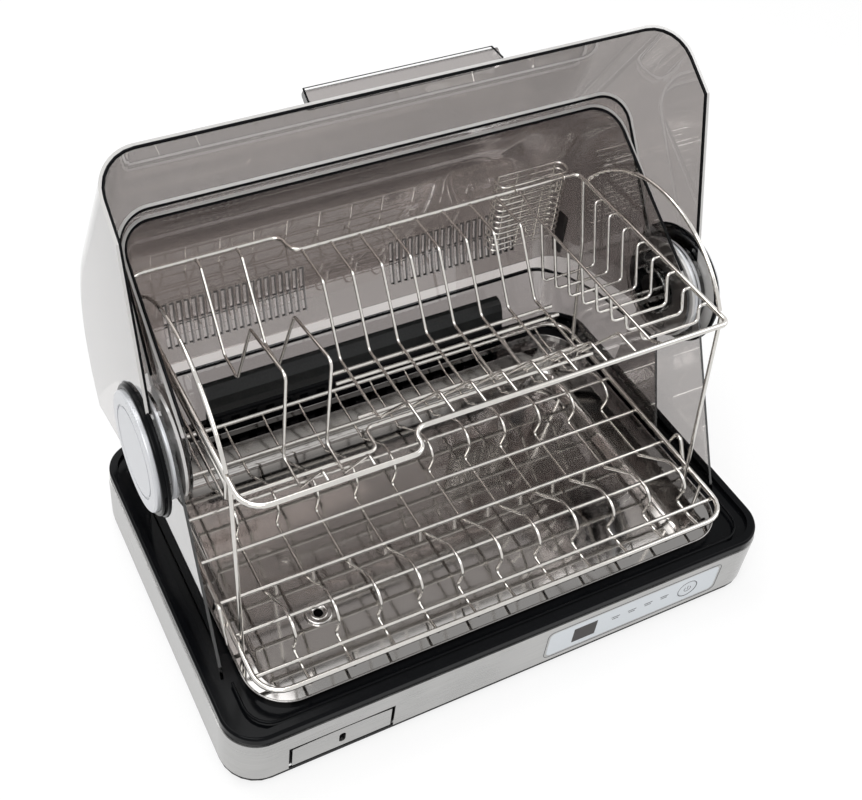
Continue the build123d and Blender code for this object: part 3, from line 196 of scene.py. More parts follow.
def vent_shade_lines(tree, spot):
    """A mask of the painted shade line at the right-hand side and the top of every vent slot."""
    edge = (VENT_PITCH + VENT_WIDTH) / 2 * MM
    zone = VENT_COUNT * VENT_PITCH * MM
    masks = []
    for middle in VENT_MIDDLES:
        along = maths(tree, "SUBTRACT", spot["X"], middle * MM - zone / 2)
        step = maths(tree, "MODULO", along, VENT_PITCH * MM)
        beside = maths(tree, "GREATER_THAN", step, edge - VENT_OVERLAP * MM)
        above = maths(tree, "MULTIPLY", maths(tree, "GREATER_THAN", spot["Z"], VENT_HIGH * MM),
                      maths(tree, "GREATER_THAN", step, edge - VENT_WIDTH * MM))
        masks.append(chain(tree, "MULTIPLY", maths(tree, "MAXIMUM", beside, above),
                           maths(tree, "LESS_THAN", step, edge + VENT_SHADE_WIDTH * MM),
                           maths(tree, "GREATER_THAN", along, 0.0),
                           maths(tree, "LESS_THAN", along, zone)))
    return maths(tree, "MULTIPLY", chain(tree, "MAXIMUM", *masks), VENT_SHADE_SHARE)


def vent_shade_mask(tree, spot, normal):
    """Painted shade on the cut sides of the vent slots and on the lines beside them.

    A part of the cover's side walls is turned the same way as the cut sides and gets the painted shade too.
    """
    facing = split_of(tree, normal)
    across = maths(tree, "MAXIMUM", *[maths(tree, "ABSOLUTE", facing[axis]) for axis in ("X", "Z")])
    sides = maths(tree, "GREATER_THAN", across, SIDEWAYS)
    return chain(tree, "MULTIPLY", maths(tree, "MAXIMUM", sides, vent_shade_lines(tree, spot)),
                 maths(tree, "GREATER_THAN", spot["Z"], VENT_ZONE_LOW * MM),
                 maths(tree, "LESS_THAN", spot["Z"], VENT_ZONE_HIGH * MM),
                 maths(tree, "GREATER_THAN", spot["Y"], VENT_ZONE_Y))


def smoked(name, tint, lines=(), limit=None, vents=False, walls=None):
    """Clear smoked plastic, with a painted highlight on the cut edges along the lines and painted shade at
    the vents.

    The limit is a line that the painted highlight on the edges ends at. The walls give the shade of the side
    walls, where the plastic is seen on a slant.
    """
    material, tree, shader = new_material(name)
    fill(tree, shader, {"IOR": SMOKED_IOR, "Coat Weight": SMOKED_COAT, "Coat Roughness": COAT_ROUGH,
                        "Coat IOR": COAT_IOR})
    place = tree.nodes.new("ShaderNodeTexCoord").outputs
    spot = split_of(tree, place["Object"])
    drift = noise_of(tree, place["Object"], SMOKED_PATCH, PATCH_DETAIL)
    haze = span(tree, drift, *[SMOKED_ROUGH * share for share in SMOKED_HAZE])
    color = mixed(tree, shade(tint, 1 - TINT_DRIFT), span(tree, drift, 0.0, 1.0), shade(tint, 1 + TINT_DRIFT))
    if walls is not None:
        aside = maths(tree, "ABSOLUTE", spot["X"])
        color = mixed(tree, color, span(tree, aside, 0.0, 1.0, *WALL_SHADE_X), shade(walls))
        haze = maths(tree, "MAXIMUM", haze, span(tree, aside, 0.0, WALL_HAZE, *WALL_HAZE_X))
        fill(tree, shader, {"Coat Weight": span(tree, aside, SMOKED_COAT, WALL_COAT, *WALL_GLOSS_X),
                            "Specular IOR Level": span(tree, aside, 0.5, WALL_SPECULAR, *WALL_GLOSS_X)})
    clear = 1.0
    if lines:
        depth = chain(tree, "MINIMUM", *[distance(tree, spot, line) for line in lines])
        solid = span(tree, depth, 1.0, 0.0, *CUT_DEPTH)
        if limit is not None:
            inside = span(tree, distance(tree, spot, limit), 0.0, 1.0, *LIMIT_DEPTH)
            solid = maths(tree, "MULTIPLY", solid, inside)
        # Painted highlight: the cut edges are made pale and almost opaque.
        color = mixed(tree, color, solid, shade(EDGE_PAINTED_HIGHLIGHT))
        if vents:
            # Painted shade: the slots' cut sides, the lines beside them and part of the side walls are made
            # dark and almost opaque.
            cut = vent_shade_mask(tree, spot, place["Normal"])
            color = mixed(tree, color, cut, shade(SLOT_PAINTED_SHADE))
            solid = maths(tree, "MAXIMUM", solid, cut)
        clear = span(tree, solid, 1.0, CUT_CLEAR, 0.0, 1.0)
    fill(tree, shader, {"Roughness": haze, "Transmission Weight": clear, "Base Color": color})
    return material


# Finishes, and the CAD nodes that have them

FRONT_FACE, FRONT_RISE = 31.16, 121.16
lead, tip, boss = polar(248, 69.7), polar(194, 81.9), polar(57, 105)
FRONT_LINES = [edge_line(tip, lead), edge_line(boss, tip)]
FRONT_SKIN = edge_line(lead, polar(194, FRONT_FACE))
MID_LINES = [edge_line((HUB_Y, HUB_Z), polar(189.5, 54.5))]
REAR_LINES = [edge_line(polar(46, 130), polar(180.5, 49.5))]
BRUSHED = (0.3, 0.3, 16)
# The basin's colour darkens towards its rim: a painted shade standing in for a dark reflection.
BASIN_RIM_PAINTED_SHADE = (46, 62, (0.24, 0.233, 0.227))
FINISH = {
    "front": smoked("smoked_front", (0.37, 0.345, 0.335), FRONT_LINES, FRONT_SKIN),
    "mid": smoked("smoked_mid", (0.86, 0.83, 0.82), MID_LINES),
    "rear": smoked("smoked_rear", (0.56, 0.525, 0.51), REAR_LINES, vents=True, walls=(0.36, 0.335, 0.325)),
    "skirt": smoked("smoked_skirt", (0.29, 0.265, 0.258)),
    "drum": smoked("smoked_drum", (0.16, 0.15, 0.145)),
    "guard": smoked("smoked_guard", (0.50, 0.48, 0.47)),
    "band": surface("brushed_band_steel", (0.44, 0.437, 0.43), 0.31, 1.0, 0.13, 0.07, 60.0, 0.05, BRUSHED),
    "polished": surface("polished_sheet_steel", (0.49, 0.475, 0.46), 0.065, 1.0, 0.04, 0.02, 30.0, 0.0004,
                        rim=BASIN_RIM_PAINTED_SHADE),
    "wire": surface("bright_wire", (0.64, 0.62, 0.59), 0.12, 1.0, 0.05, 0.04, 220.0, 0.01),
    "black": surface("gloss_black_plastic", (0.003, 0.0033, 0.004), 0.13, 0.0, 0.20, 0.03, 500.0, 0.01,
                     specular=0.06),
    "outlet": surface("outlet_black_plastic", (0.011, 0.012, 0.012), 0.16, 0.0, 0.20, 0.03, 500.0, 0.01,
                      specular=0.25),
    "matte": surface("matte_black_plastic", (0.022, 0.022, 0.023), 0.55, 0.0, 0.20, 0.08, 700.0, 0.08),
    "rubber": surface("foot_rubber", (0.03, 0.03, 0.03), 0.8, 0.0, 0.20, 0.08, 600.0, 0.10),
    "panel": surface("panel_plastic", (0.60, 0.63, 0.66), 0.42, 0.0, 0.03, 0.04, 900.0, 0.02),
    "window": surface("dark_window", (0.02, 0.016, 0.015), 0.35, 0.0, 0.2, 0.03, 100.0, 0.01, specular=0.2),
    "board": surface("circuit_board", (0.03, 0.12, 0.05), 0.5, 0.0, 0.15, 0.08, 300.0, 0.05),
    "silver": surface("silver_paint", (0.56, 0.57, 0.59), 0.32, 0.35, 0.05, 0.05, 900.0, 0.03),
    "plain": surface("plain_steel", (0.5, 0.5, 0.5), 0.35, 1.0, 0.08, 0.08, 200.0, 0.04),
    "mark": surface("panel_mark_ink", (0.10, 0.105, 0.11), 0.5, 0.0, 0.1, 0.05, 900.0, 0.02),
}

NODE_FINISH = {
    "front": ["front_cover"],
    "mid": ["mid_cover"],
    "rear": ["rear_cover"],
    "skirt": ["rear_skirt", "inner_cap_left", "inner_cap_right"],
    "guard": ["side_guard_left", "side_guard_right"],
    "drum": ["hub_drum_left", "hub_drum_right"],
    "band": ["steel_band", "tray_face"],
    "polished": ["drip_basin", "drain_ring"],
    "black": ["deck", "air_outlet", "cover_seal", "hub_trim_left", "hub_trim_right", "hinge_screws"],
    "matte": ["bottom_pan", "air_riser", "drain_tray", "tray_guides", "fan_housing", "fan_wheel",
              "drain_spout"],
    "rubber": ["rubber_feet"],
    "panel": ["control_panel", "power_button"],
    "window": ["display_window"],
    "board": ["control_board"],
    "silver": ["silver_ring_left", "silver_ring_right", "hub_cap_left", "hub_cap_right"],
    "plain": ["fan_motor", "heater", "pan_screws", "hinge_pin_left", "hinge_pin_right"],
}
for finish, names in NODE_FINISH.items():
    for name in names:
        mesh = nodes[name].data
        mesh.materials.clear()
        mesh.materials.append(FINISH[finish])


# Bent wires, with all lengths in millimetres

ARC_STEPS = 6
STRAIGHT_ANGLE = math.radians(178)
BEND_ROOM = 0.49


def rounded(points, bend, closed):
    """The points of a bent wire, each corner turned on an arc; the bend may be a list, one a corner."""
    points = [Vector(p) for p in points]
    count = len(points)
    bends = bend if isinstance(bend, list) else [bend] * count
    out = []
    for i, here in enumerate(points):
        if not closed and i in (0, count - 1):
            out.append(here)
            continue
        before = points[i - 1] - here
        after = points[(i + 1) % count] - here
        turn = before.angle(after)
        if turn > STRAIGHT_ANGLE:
            continue
        room = BEND_ROOM * min(before.length, after.length)
        reach = min(room, bends[i] / math.tan(turn / 2))
        radius = reach * math.tan(turn / 2)
        bisect = (before.normalized() + after.normalized()).normalized()
        centre = here + bisect * (radius / math.sin(turn / 2))
        start = here + before.normalized() * reach - centre
        end = here + after.normalized() * reach - centre
        sweep = start.angle(end)
        for k in range(ARC_STEPS + 1):
            near = math.sin(sweep * (1 - k / ARC_STEPS)) / math.sin(sweep)
            far = math.sin(sweep * k / ARC_STEPS) / math.sin(sweep)
            out.append(centre + start * near + end * far)
    return out


# A run of wire is (points, radius, bend, closed)

def straight(first, last, radius):
    return [first, last], radius, 0, False


def bent(points, radius, bend):
    return points, radius, bend, False


def loop(points, radius, bend):
    return points, radius, bend, True


def at_x(x, path):
    """The points of a side view's path, given as (y, z), at one x."""
    return [(x, y, z) for y, z in path]


def wires(name, body, node, runs, finish="wire"):
    """One piece of round wires, each run made by straight, bent or loop; it stands for the node, if any."""
    curve = bpy.data.curves.new(name, "CURVE")
    curve.dimensions = "3D"
    curve.bevel_depth = MM
    curve.bevel_resolution = 3
    curve.use_fill_caps = True
    for points, radius, bend, closed in runs:
        path = rounded(points, bend, closed)
        spline = curve.splines.new("POLY")
        spline.points.add(len(path) - 1)
        for point, place in zip(spline.points, path):
            point.co = (*(place * MM), 1)
            point.radius = radius
        spline.use_cyclic_u = closed
        spline.use_smooth = True
    piece = bpy.data.objects.new(name, curve)
    scene.collection.objects.link(piece)
    curve.materials.append(FINISH[finish])
    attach(piece, body)
    if node:
        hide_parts(node)
    return piece


# Lower rack; the first line gives the radii of all rack wires

RIM, CROSS, THIN, FINE, FLOOR = 2.4, 1.9, 1.45, 1.0, 1.75
LOW_HALF, LOW_FRONT, LOW_REAR, LOW_Z, LOW_BEND = 233, -145, 140, 88, 24
CROSS_Z, CROSS_END = 84.0, LOW_HALF + CROSS
low_runs = [loop([(-LOW_HALF, LOW_FRONT, LOW_Z), (LOW_HALF, LOW_FRONT, LOW_Z), (LOW_HALF, LOW_REAR, LOW_Z),
                  (-LOW_HALF, LOW_REAR, LOW_Z)], RIM, LOW_BEND)]
for y in (-122, -80, -45, 0, 48, 96):
    low_runs.append(straight((-CROSS_END, y, CROSS_Z), (CROSS_END, y, CROSS_Z), CROSS))
wires("lower_frame_wires", "base_body", "lower_rack_frame", low_runs)

LIP_TOP, BEAD_TOP = 68.0, 72.0
FOOT_INSET, FOOT_PATH_Z = 40, (LOW_Z - 2.6, LIP_TOP + 0.1)
LEG_LOOP_X, LEG_LOOP_BEND = 237.6, 5
leg_loop = [(-50, LOW_Z), (-57, 111), (-78, BEAD_TOP + 1.05)]
foot_runs = []
for side in SIDES:
    for y in (LOW_FRONT + FOOT_INSET, LOW_REAR - FOOT_INSET):
        top, bottom = at_x(side * LOW_HALF, [(y, z) for z in FOOT_PATH_Z])
        foot_runs.append(straight(top, bottom, CROSS))
    foot_runs.append(bent(at_x(side * LEG_LOOP_X, leg_loop), CROSS, LEG_LOOP_BEND))
wires("lower_feet_wires", "base_body", "lower_rack_feet", foot_runs)

WAVE_Z, WAVE_RISE, WAVE_END_Z = 80.4, 33.0, 83.5
WAVE_COUNT, WAVE_PITCH, WAVE_MIDDLE = 11, 39.4, 6.5
CREST_BENDS, END_BEND = [8, 25, 14, 12, 4], 6


def crest(front):
    """One wave from its rear foot over the top to its front foot, as (y, z)."""
    return [(front + 61, WAVE_Z), (front + 22, WAVE_Z + 0.97 * WAVE_RISE), (front + 4, WAVE_Z + WAVE_RISE),
            (front - 6, WAVE_Z + 0.72 * WAVE_RISE), (front, WAVE_Z)]


wave_path = [(LOW_REAR, WAVE_END_Z), (LOW_REAR - 14, WAVE_Z)]
wave_path += crest(17) + crest(-108)
wave_path += [(-129, WAVE_Z), (LOW_FRONT, WAVE_END_Z)]
wave_bends = [0, END_BEND] + CREST_BENDS + CREST_BENDS + [END_BEND, 0]
wave_xs = [WAVE_MIDDLE + (i - WAVE_COUNT // 2) * WAVE_PITCH for i in range(WAVE_COUNT)]
waves = wires("plate_wave_wires", "base_body", "plate_waves",
              [bent(at_x(x, wave_path), THIN, wave_bends) for x in wave_xs])
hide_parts("plate_prongs")


# Upper rack

UP_Z, UP_HALF, UP_FRONT, UP_REAR = 271, 229, -75, 156
JOG_X, JOG_FRONT, JOG_REAR = -79, -99, 180
UP_BENDS = [20, 11, 11, 7, 7, 11, 11, 20]
LEG_X, LEG_Z, LEG_BEND = 228.1, LIP_TOP + 0.7, 12
up_rim = [(-UP_HALF, JOG_FRONT), (JOG_X, JOG_FRONT), (JOG_X, UP_FRONT), (UP_HALF, UP_FRONT),
          (UP_HALF, UP_REAR), (JOG_X, UP_REAR), (JOG_X, JOG_REAR), (-UP_HALF, JOG_REAR)]
up_runs = [loop([(x, y, UP_Z) for x, y in up_rim], RIM, UP_BENDS)]
for side in SIDES:
    leg_x = side * LEG_X
    up_runs.append(straight((leg_x, -66, UP_Z), (leg_x, -90, LEG_Z), CROSS))
    up_runs.append(bent(at_x(leg_x, [(146, UP_Z), (127, 207), (104, LEG_Z)]), CROSS, LEG_BEND))
wires("upper_frame_wires", "base_body", "upper_rack_frame", up_runs)

FENCE_FRONT, FENCE_REAR, FENCE_LOW, FENCE_BEND = -58, 150, 236, 6
fence_path = [(FENCE_FRONT, UP_Z), (FENCE_FRONT, FENCE_LOW), (FENCE_REAR, FENCE_LOW), (FENCE_REAR, UP_Z)]
fence_runs = [bent(at_x(-LEG_X, fence_path), THIN, FENCE_BEND)]
for z in (263.5, 256):
    fence_runs.append(straight((-LEG_X, FENCE_FRONT, z), (-LEG_X, FENCE_REAR, z), CROSS))
wires("side_fence_wires", "base_body", None, fence_runs)

ARCH_FRONT, ARCH_REAR, ARCH_LOW, ARCH_RISE = -62, 140, UP_Z + 3.4, 56
ARCH_COUNT, ARCH_BEND = 24, 1


def arch_points(x):
    """A carrying arch, part of a circle in the side view."""
    half = (ARCH_REAR - ARCH_FRONT) / 2
    radius = (half * half + ARCH_RISE * ARCH_RISE) / (2 * ARCH_RISE)
    sweep = math.asin(half / radius)
    middle_y, middle_z = (ARCH_FRONT + ARCH_REAR) / 2, ARCH_LOW + ARCH_RISE - radius
    turns = [-sweep + 2 * sweep * k / ARCH_COUNT for k in range(ARCH_COUNT + 1)]
    return [(x, middle_y + radius * math.sin(a), middle_z + radius * math.cos(a)) for a in turns]


wires("arch_wires", "base_body", "rack_arches",
      [bent(arch_points(side * UP_HALF), CROSS, ARCH_BEND) for side in SIDES])

FLOOR_Z = 211.5
UNDER_Z = FLOOR_Z - 3.4
DIVIDER_X, DIVIDER_PITCH, DIVIDER_COUNT, DIVIDER_BEND = -69, 29, 8, 7
RIM_FRONT, RIM_REAR = -72.4, 153.4
divider_path = [(RIM_REAR, UP_Z), (110, UP_Z), (68, FLOOR_Z), (-8, FLOOR_Z), (-48, UP_Z), (RIM_FRONT, UP_Z)]
divider_xs = [DIVIDER_X + DIVIDER_PITCH * i for i in range(DIVIDER_COUNT)]
wires("divider_wires", "base_body", "plate_dividers",
      [bent(at_x(x, divider_path), THIN, DIVIDER_BEND) for x in divider_xs])

FLOOR_LEFT, FLOOR_JOG_X, FLOOR_RIGHT, FLOOR_BEND = -214, -84, 146, 7
FLOOR_FRONT, FLOOR_JOG_Y = -36, -11
floor_runs = [straight((FLOOR_JOG_X, y, UNDER_Z), (FLOOR_RIGHT, y, UNDER_Z), FLOOR) for y in (57, 45, 2)]
floor_runs.append(bent([(FLOOR_LEFT, FLOOR_FRONT, UNDER_Z), (FLOOR_JOG_X, FLOOR_FRONT, UNDER_Z),
                        (FLOOR_JOG_X, FLOOR_JOG_Y, UNDER_Z), (FLOOR_RIGHT, FLOOR_JOG_Y, UNDER_Z)],
                       FLOOR, FLOOR_BEND))
wires("floor_wires", "base_body", "rack_floor_wires", floor_runs)

POST_BEND = 6
post_path = [(-96.4, UP_Z), (-85, UP_Z), (-50, FLOOR_Z), (-16, FLOOR_Z), (-16, 308), (54, 295), (82, FLOOR_Z),
             (112, FLOOR_Z), (166, UP_Z), (177.4, UP_Z)]
wires("post_wires", "base_body", "cup_posts",
      [bent(at_x(x, post_path), THIN, POST_BEND) for x in (-161, -122)])

HOOP_COUNT, HOOP_FIRST, HOOP_PITCH, HOOP_BEND = 8, -47, 22.7, 5
HOOP_HIGH, HOOP_DROP, HOOP_LEAN = 256, 50, 0.3
HOOP_LEFT, HOOP_RIGHT, HOOP_END, HOOP_LEFT_Z = 160, 219, 226.4, 262
RAIL_Z = 263.6
hoop_runs = []
for i in range(HOOP_COUNT):
    y = HOOP_FIRST + HOOP_PITCH * i
    low = HOOP_HIGH - HOOP_DROP * i / (HOOP_COUNT - 1)
    foot = y - HOOP_LEAN * (UP_Z - low)
    hoop_runs.append(bent([(HOOP_LEFT, y, HOOP_LEFT_Z), (HOOP_LEFT, foot, low), (HOOP_RIGHT, foot, low),
                           (HOOP_RIGHT, y, UP_Z), (HOOP_END, y, UP_Z)], THIN, HOOP_BEND))
wires("hoop_wires", "base_body", "shelf_hoops", hoop_runs)
rail_path = [(RIM_FRONT, UP_Z), (-61, RAIL_Z), (125.9, RAIL_Z), (RIM_REAR, UP_Z)]
wires("shelf_rail_wire", "base_body", "shelf_rail", [bent(at_x(HOOP_LEFT, rail_path), THIN, HOOP_BEND)])

CAGE_L, CAGE_R, CAGE_F, CAGE_B, CAGE_LOW, CAGE_HIGH = 144, 222, 160.1, 178, 195, 273
CAGE_RINGS, CAGE_RING_BEND = 12, 7
CAGE_UPRIGHTS, UPRIGHT_INSET, UPRIGHT_BEND = 4, 7, 4
HOOK_INSET, HOOK_DROP, HOOK_RISE, HOOK_Y, HOOK_BEND = 12, 20, 3.6, 152.4, 2
INNER_F, INNER_B = CAGE_F + 1.5, CAGE_B - 1.5
cage_runs = []
for i in range(CAGE_RINGS):
    z = CAGE_LOW + (CAGE_HIGH - CAGE_LOW) * i / (CAGE_RINGS - 1)
    ring = [(CAGE_L, CAGE_F, z), (CAGE_R, CAGE_F, z), (CAGE_R, CAGE_B, z), (CAGE_L, CAGE_B, z)]
    cage_runs.append(loop(ring, FINE if i < CAGE_RINGS - 1 else THIN, CAGE_RING_BEND))
upright_path = [(INNER_F, CAGE_HIGH), (INNER_F, CAGE_LOW), (INNER_B, CAGE_LOW), (INNER_B, CAGE_HIGH)]
for i in range(CAGE_UPRIGHTS):
    x = CAGE_L + UPRIGHT_INSET + (CAGE_R - CAGE_L - 2 * UPRIGHT_INSET) * i / (CAGE_UPRIGHTS - 1)
    cage_runs.append(bent(at_x(x, upright_path), FINE, UPRIGHT_BEND))
hook_path = [(INNER_F, UP_Z - HOOK_DROP), (INNER_F, UP_Z + HOOK_RISE), (HOOK_Y, UP_Z + HOOK_RISE),
             (HOOK_Y, UP_Z)]
for x in (CAGE_L + HOOK_INSET, CAGE_R - HOOK_INSET):
    cage_runs.append(bent(at_x(x, hook_path), FINE, HOOK_BEND))
wires("cage_wires", "base_body", "cutlery_cage", cage_runs)


# Lines along the covers' edges, the ridge in the deck and rings at the hinges

BEAD, BEAD_INSET = 1.4, 1.0
FRONT_HALF, MID_HALF, REAR_HALF = 261.6, 244.3, 239.2
RING_COUNT, RING_BEND_SHARE = 48, 0.95


def trim(name, body, runs):
    """A piece of dark beads."""
    wires(name, body, None, runs, "black")


def in_mm(point):
    return point[0] / MM, point[1] / MM


def u_path(half, *side_points):
    """A path up one side, across and down the other; the points are (y, z) in metres from hub to top."""
    ends = [in_mm(p) for p in side_points]
    return at_x(-half, ends) + at_x(half, reversed(ends))


def inward(point, skin, depth):
    """The point moved against the outward direction given as an angle, by a depth in millimetres."""
    turn = math.radians(skin)
    return point[0] - depth * MM * math.cos(turn), point[1] - depth * MM * math.sin(turn)


front_path = u_path(FRONT_HALF, inward(boss, 160, BEAD_INSET), inward(tip, 140, BEAD_INSET),
                    inward(inward(lead, FRONT_FACE, 3.3), FRONT_RISE, BEAD_INSET))
trim("front_edge_line", "front_cover_body", [bent(front_path, BEAD, [0, 3, 33, 33, 3, 0])])
mid_path = u_path(MID_HALF, polar(56, 54.0), polar(186.0, 54.0))
trim("mid_edge_line", "mid_cover_body", [bent(mid_path, BEAD, 30)])
rear_path = u_path(REAR_HALF, polar(50, 122), polar(176.9, 49.2))
trim("rear_edge_line", "base_body", [bent(rear_path, BEAD, 27)])


def grip_point(x, out, down):
    """A point of the grip: out from the panel and down from the leading edge, in millimetres."""
    return (x, *in_mm(inward(inward(lead, FRONT_FACE, -out), FRONT_RISE, down)))


GRIP_ROOT, GRIP_TIP, GRIP_TOP = 0.4, 12.6, 0.2
ROOT_TOP, ROOT_LOW, ROOT_BEND = 0.4, 8.8, 2
SIDE_LINE, TIP_LINE, ROOT_LINE = 0.8, 0.4, 0.6
grip_ends = [grip_point(-87, GRIP_ROOT, GRIP_TOP), grip_point(-87, GRIP_TIP, GRIP_TOP),
             grip_point(82, GRIP_TIP, GRIP_TOP), grip_point(88, GRIP_ROOT, GRIP_TOP)]
grip_root = [grip_point(-86, GRIP_ROOT, ROOT_TOP), grip_point(-86, GRIP_ROOT, ROOT_LOW),
             grip_point(76, GRIP_ROOT, ROOT_LOW), grip_point(88, GRIP_ROOT, ROOT_TOP)]
trim("grip_edge_lines", "front_cover_body",
     [straight(*grip_ends[:2], SIDE_LINE), straight(*grip_ends[1:3], TIP_LINE),
      straight(*grip_ends[2:], SIDE_LINE), bent(grip_root, ROOT_LINE, ROOT_BEND)])

RIDGE_X, RIDGE_FRONT, RIDGE_REAR, RIDGE_Z = 247, -159, -112, 70.9
RIDGE, RIDGE_BEND = 1.3, 44
trim("deck_ridge", "base_body",
     [bent([(-RIDGE_X, RIDGE_REAR, RIDGE_Z), (-RIDGE_X, RIDGE_FRONT, RIDGE_Z),
            (RIDGE_X, RIDGE_FRONT, RIDGE_Z), (RIDGE_X, RIDGE_REAR, RIDGE_Z)], RIDGE, RIDGE_BEND)])


def hub_ring(x, radius, thick):
    """A closed run round the hinge axis."""
    around = [in_mm(polar(radius, 360 * k / RING_COUNT)) for k in range(RING_COUNT)]
    return loop(at_x(x, around), thick, RING_BEND_SHARE * radius)


wires("hub_inner_ring", "base_body", None, [hub_ring(250.3, 45, 2.4)], "silver")
trim("hub_rim_lines", "front_cover_body", [hub_ring(side * 263.5, 56.6, 1.75) for side in SIDES])


# Turned and extruded pieces

def shaped(name, body, bm, finish):
    """A piece from a bmesh in millimetres."""
    bmesh.ops.scale(bm, vec=(MM, MM, MM), verts=bm.verts)
    bmesh.ops.recalc_face_normals(bm, faces=bm.faces)
    mesh = bpy.data.meshes.new(name)
    bm.to_mesh(mesh)
    bm.free()
    mesh.materials.append(FINISH[finish])
    piece = bpy.data.objects.new(name, mesh)
    scene.collection.objects.link(piece)
    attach(piece, body)
    return piece


def soften(piece, width, segments):
    bevel = piece.modifiers.new("soft_edge", "BEVEL")
    bevel.width = width * MM
    bevel.segments = segments


DRAIN_X, DRAIN_Y, DRAIN_COUNT = -143, -60, 64
LIP_PROFILE = [(8.8, 39.3), (8.2, 40.0), (7.2, 40.1), (6.0, 39.4), (4.8, 38.6), (4.1, 37.6), (3.9, 36.2),
               (5.0, 36.2), (6.4, 37.6), (8.0, 38.6)]
lip_bm = bmesh.new()
lip_rings = []
for i in range(DRAIN_COUNT):
    turn = 2 * math.pi * i / DRAIN_COUNT
    lip_rings.append([lip_bm.verts.new((DRAIN_X + r * math.cos(turn), DRAIN_Y + r * math.sin(turn), z))
                      for r, z in LIP_PROFILE])
for i in range(DRAIN_COUNT):
    here, there = lip_rings[i - 1], lip_rings[i]
    for k in range(len(LIP_PROFILE)):
        face = lip_bm.faces.new((here[k - 1], there[k - 1], there[k], here[k]))
        face.smooth = True
shaped("drain_lip", "base_body", lip_bm, "polished")

BASE_HALF_X, BASE_HALF_Y, BASE_BEND = 270, 171, 34
# The section, as (inset, height) in millimetres, of the black line round the base's foot: the pan's edge with
# a painted shadow under the band.
PAN_EDGE_SHADOW_SECTION = ((0.5, 5.0), (0.5, 9.2), (2.0, 9.2), (2.0, 5.0))


def base_loop(bm, inset, z):
    """A loop of points round the base, moved in from its outline."""
    half_x, half_y = BASE_HALF_X - inset, BASE_HALF_Y - inset
    corners = [(-half_x, -half_y, z), (half_x, -half_y, z), (half_x, half_y, z), (-half_x, half_y, z)]
    return [bm.verts.new(p) for p in rounded(corners, BASE_BEND - inset, True)]


# The black pan's lower edge, drawn thicker as a painted shadow in the gap under the steel band.
pan_shadow_bm = bmesh.new()
pan_shadow_loops = [base_loop(pan_shadow_bm, inset, z) for inset, z in PAN_EDGE_SHADOW_SECTION]
for k, there in enumerate(pan_shadow_loops):
    here = pan_shadow_loops[k - 1]
    for i in range(len(here)):
        pan_shadow_bm.faces.new((here[i - 1], here[i], there[i], there[i - 1]))
shaped("base_pan_edge_and_painted_shadow", "base_body", pan_shadow_bm, "black")

HOOD_HALF = 165
HOOD_PROFILE = [(147.2, 96.8), (148.6, 106), (151.5, 115), (155.5, 121), (160.5, 124), (165.5, 124.6),
                (167.2, 123), (167, 112), (161, 103), (155.2, 96.8)]
hood_bm = bmesh.new()
hood_left = [hood_bm.verts.new(p) for p in at_x(-HOOD_HALF, HOOD_PROFILE)]
hood_right = [hood_bm.verts.new(p) for p in at_x(HOOD_HALF, HOOD_PROFILE)]
hood_bm.faces.new(hood_left)
hood_bm.faces.new(hood_right)
for k in range(len(HOOD_PROFILE)):
    hood_bm.faces.new((hood_left[k - 1], hood_left[k], hood_right[k], hood_right[k - 1]))
soften(shaped("outlet_hood", "base_body", hood_bm, "outlet"), 1.2, 3)


# Marks on the control panel

face_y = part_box("control_panel")[0].y / MM
LABEL_XS, LABEL_BARS = (102, 120, 138, 156), ((4.6, 36.6), (3.4, 33.8))
LABEL_HALF_Z, LABEL_OUT, LABEL_IN = 0.55, 0.12, 0.1
label_bm = bmesh.new()
for x in LABEL_XS:
    for half, z in LABEL_BARS:
        low = (x - half, face_y - LABEL_OUT, z - LABEL_HALF_Z)
        high = (x + half, face_y + LABEL_IN, z + LABEL_HALF_Z)
        for vert in bmesh.ops.create_cube(label_bm, size=1.0)["verts"]:
            vert.co = [low[axis] if vert.co[axis] < 0 else high[axis] for axis in range(3)]
soften(shaped("panel_label_bars", "base_body", label_bm, "mark"), 0.05, 2)

LINE_Y = face_y + 0.15
PANEL_LEFT, PANEL_RIGHT, PANEL_LOW, PANEL_HIGH, PANEL_BEND = 28, 218, 14, 53, 6
OUTLINE = 0.45
outline = [(PANEL_LEFT, LINE_Y, PANEL_LOW), (PANEL_RIGHT, LINE_Y, PANEL_LOW),
           (PANEL_RIGHT, LINE_Y, PANEL_HIGH), (PANEL_LEFT, LINE_Y, PANEL_HIGH)]
wires("panel_outline", "base_body", None, [loop(outline, OUTLINE, PANEL_BEND)], "mark")

BUTTON_X, BUTTON_Z, MARK = 183, 33, 0.4


def button_arc(radius, first, last, count):
    """Points on an arc round the button's middle, its angles in degrees from the top."""
    turns = [math.radians(first + (last - first) * k / count) for k in range(count + 1)]
    return [(BUTTON_X + radius * math.sin(a), LINE_Y, BUTTON_Z + radius * math.cos(a)) for a in turns]


wires("button_mark", "button_body", None,
      [loop(button_arc(10.6, 0, 350, 35), MARK, 10), bent(button_arc(3.6, 40, 320, 20), MARK, 3),
       straight((BUTTON_X, LINE_Y, 32.4), (BUTTON_X, LINE_Y, 37.4), MARK)], "mark")


# Stage

WHITE, FLOOR_GREY = (1, 1, 1, 1), (0.93, 0.93, 0.93, 1)
FLOOR_SIZE, FADE_REACH, FLOOR_GLOW, WORLD_LIGHT = 12.0, (0.6, 2.4), (0.72, 1.0), 0.55


def seen_rays(tree):
    """One for the rays that carry the picture: straight, mirrored or through the plastic."""
    rays = tree.nodes.new("ShaderNodeLightPath").outputs
    return chain(tree, "MAXIMUM", rays["Is Camera Ray"], rays["Is Glossy Ray"], rays["Is Transmission Ray"])


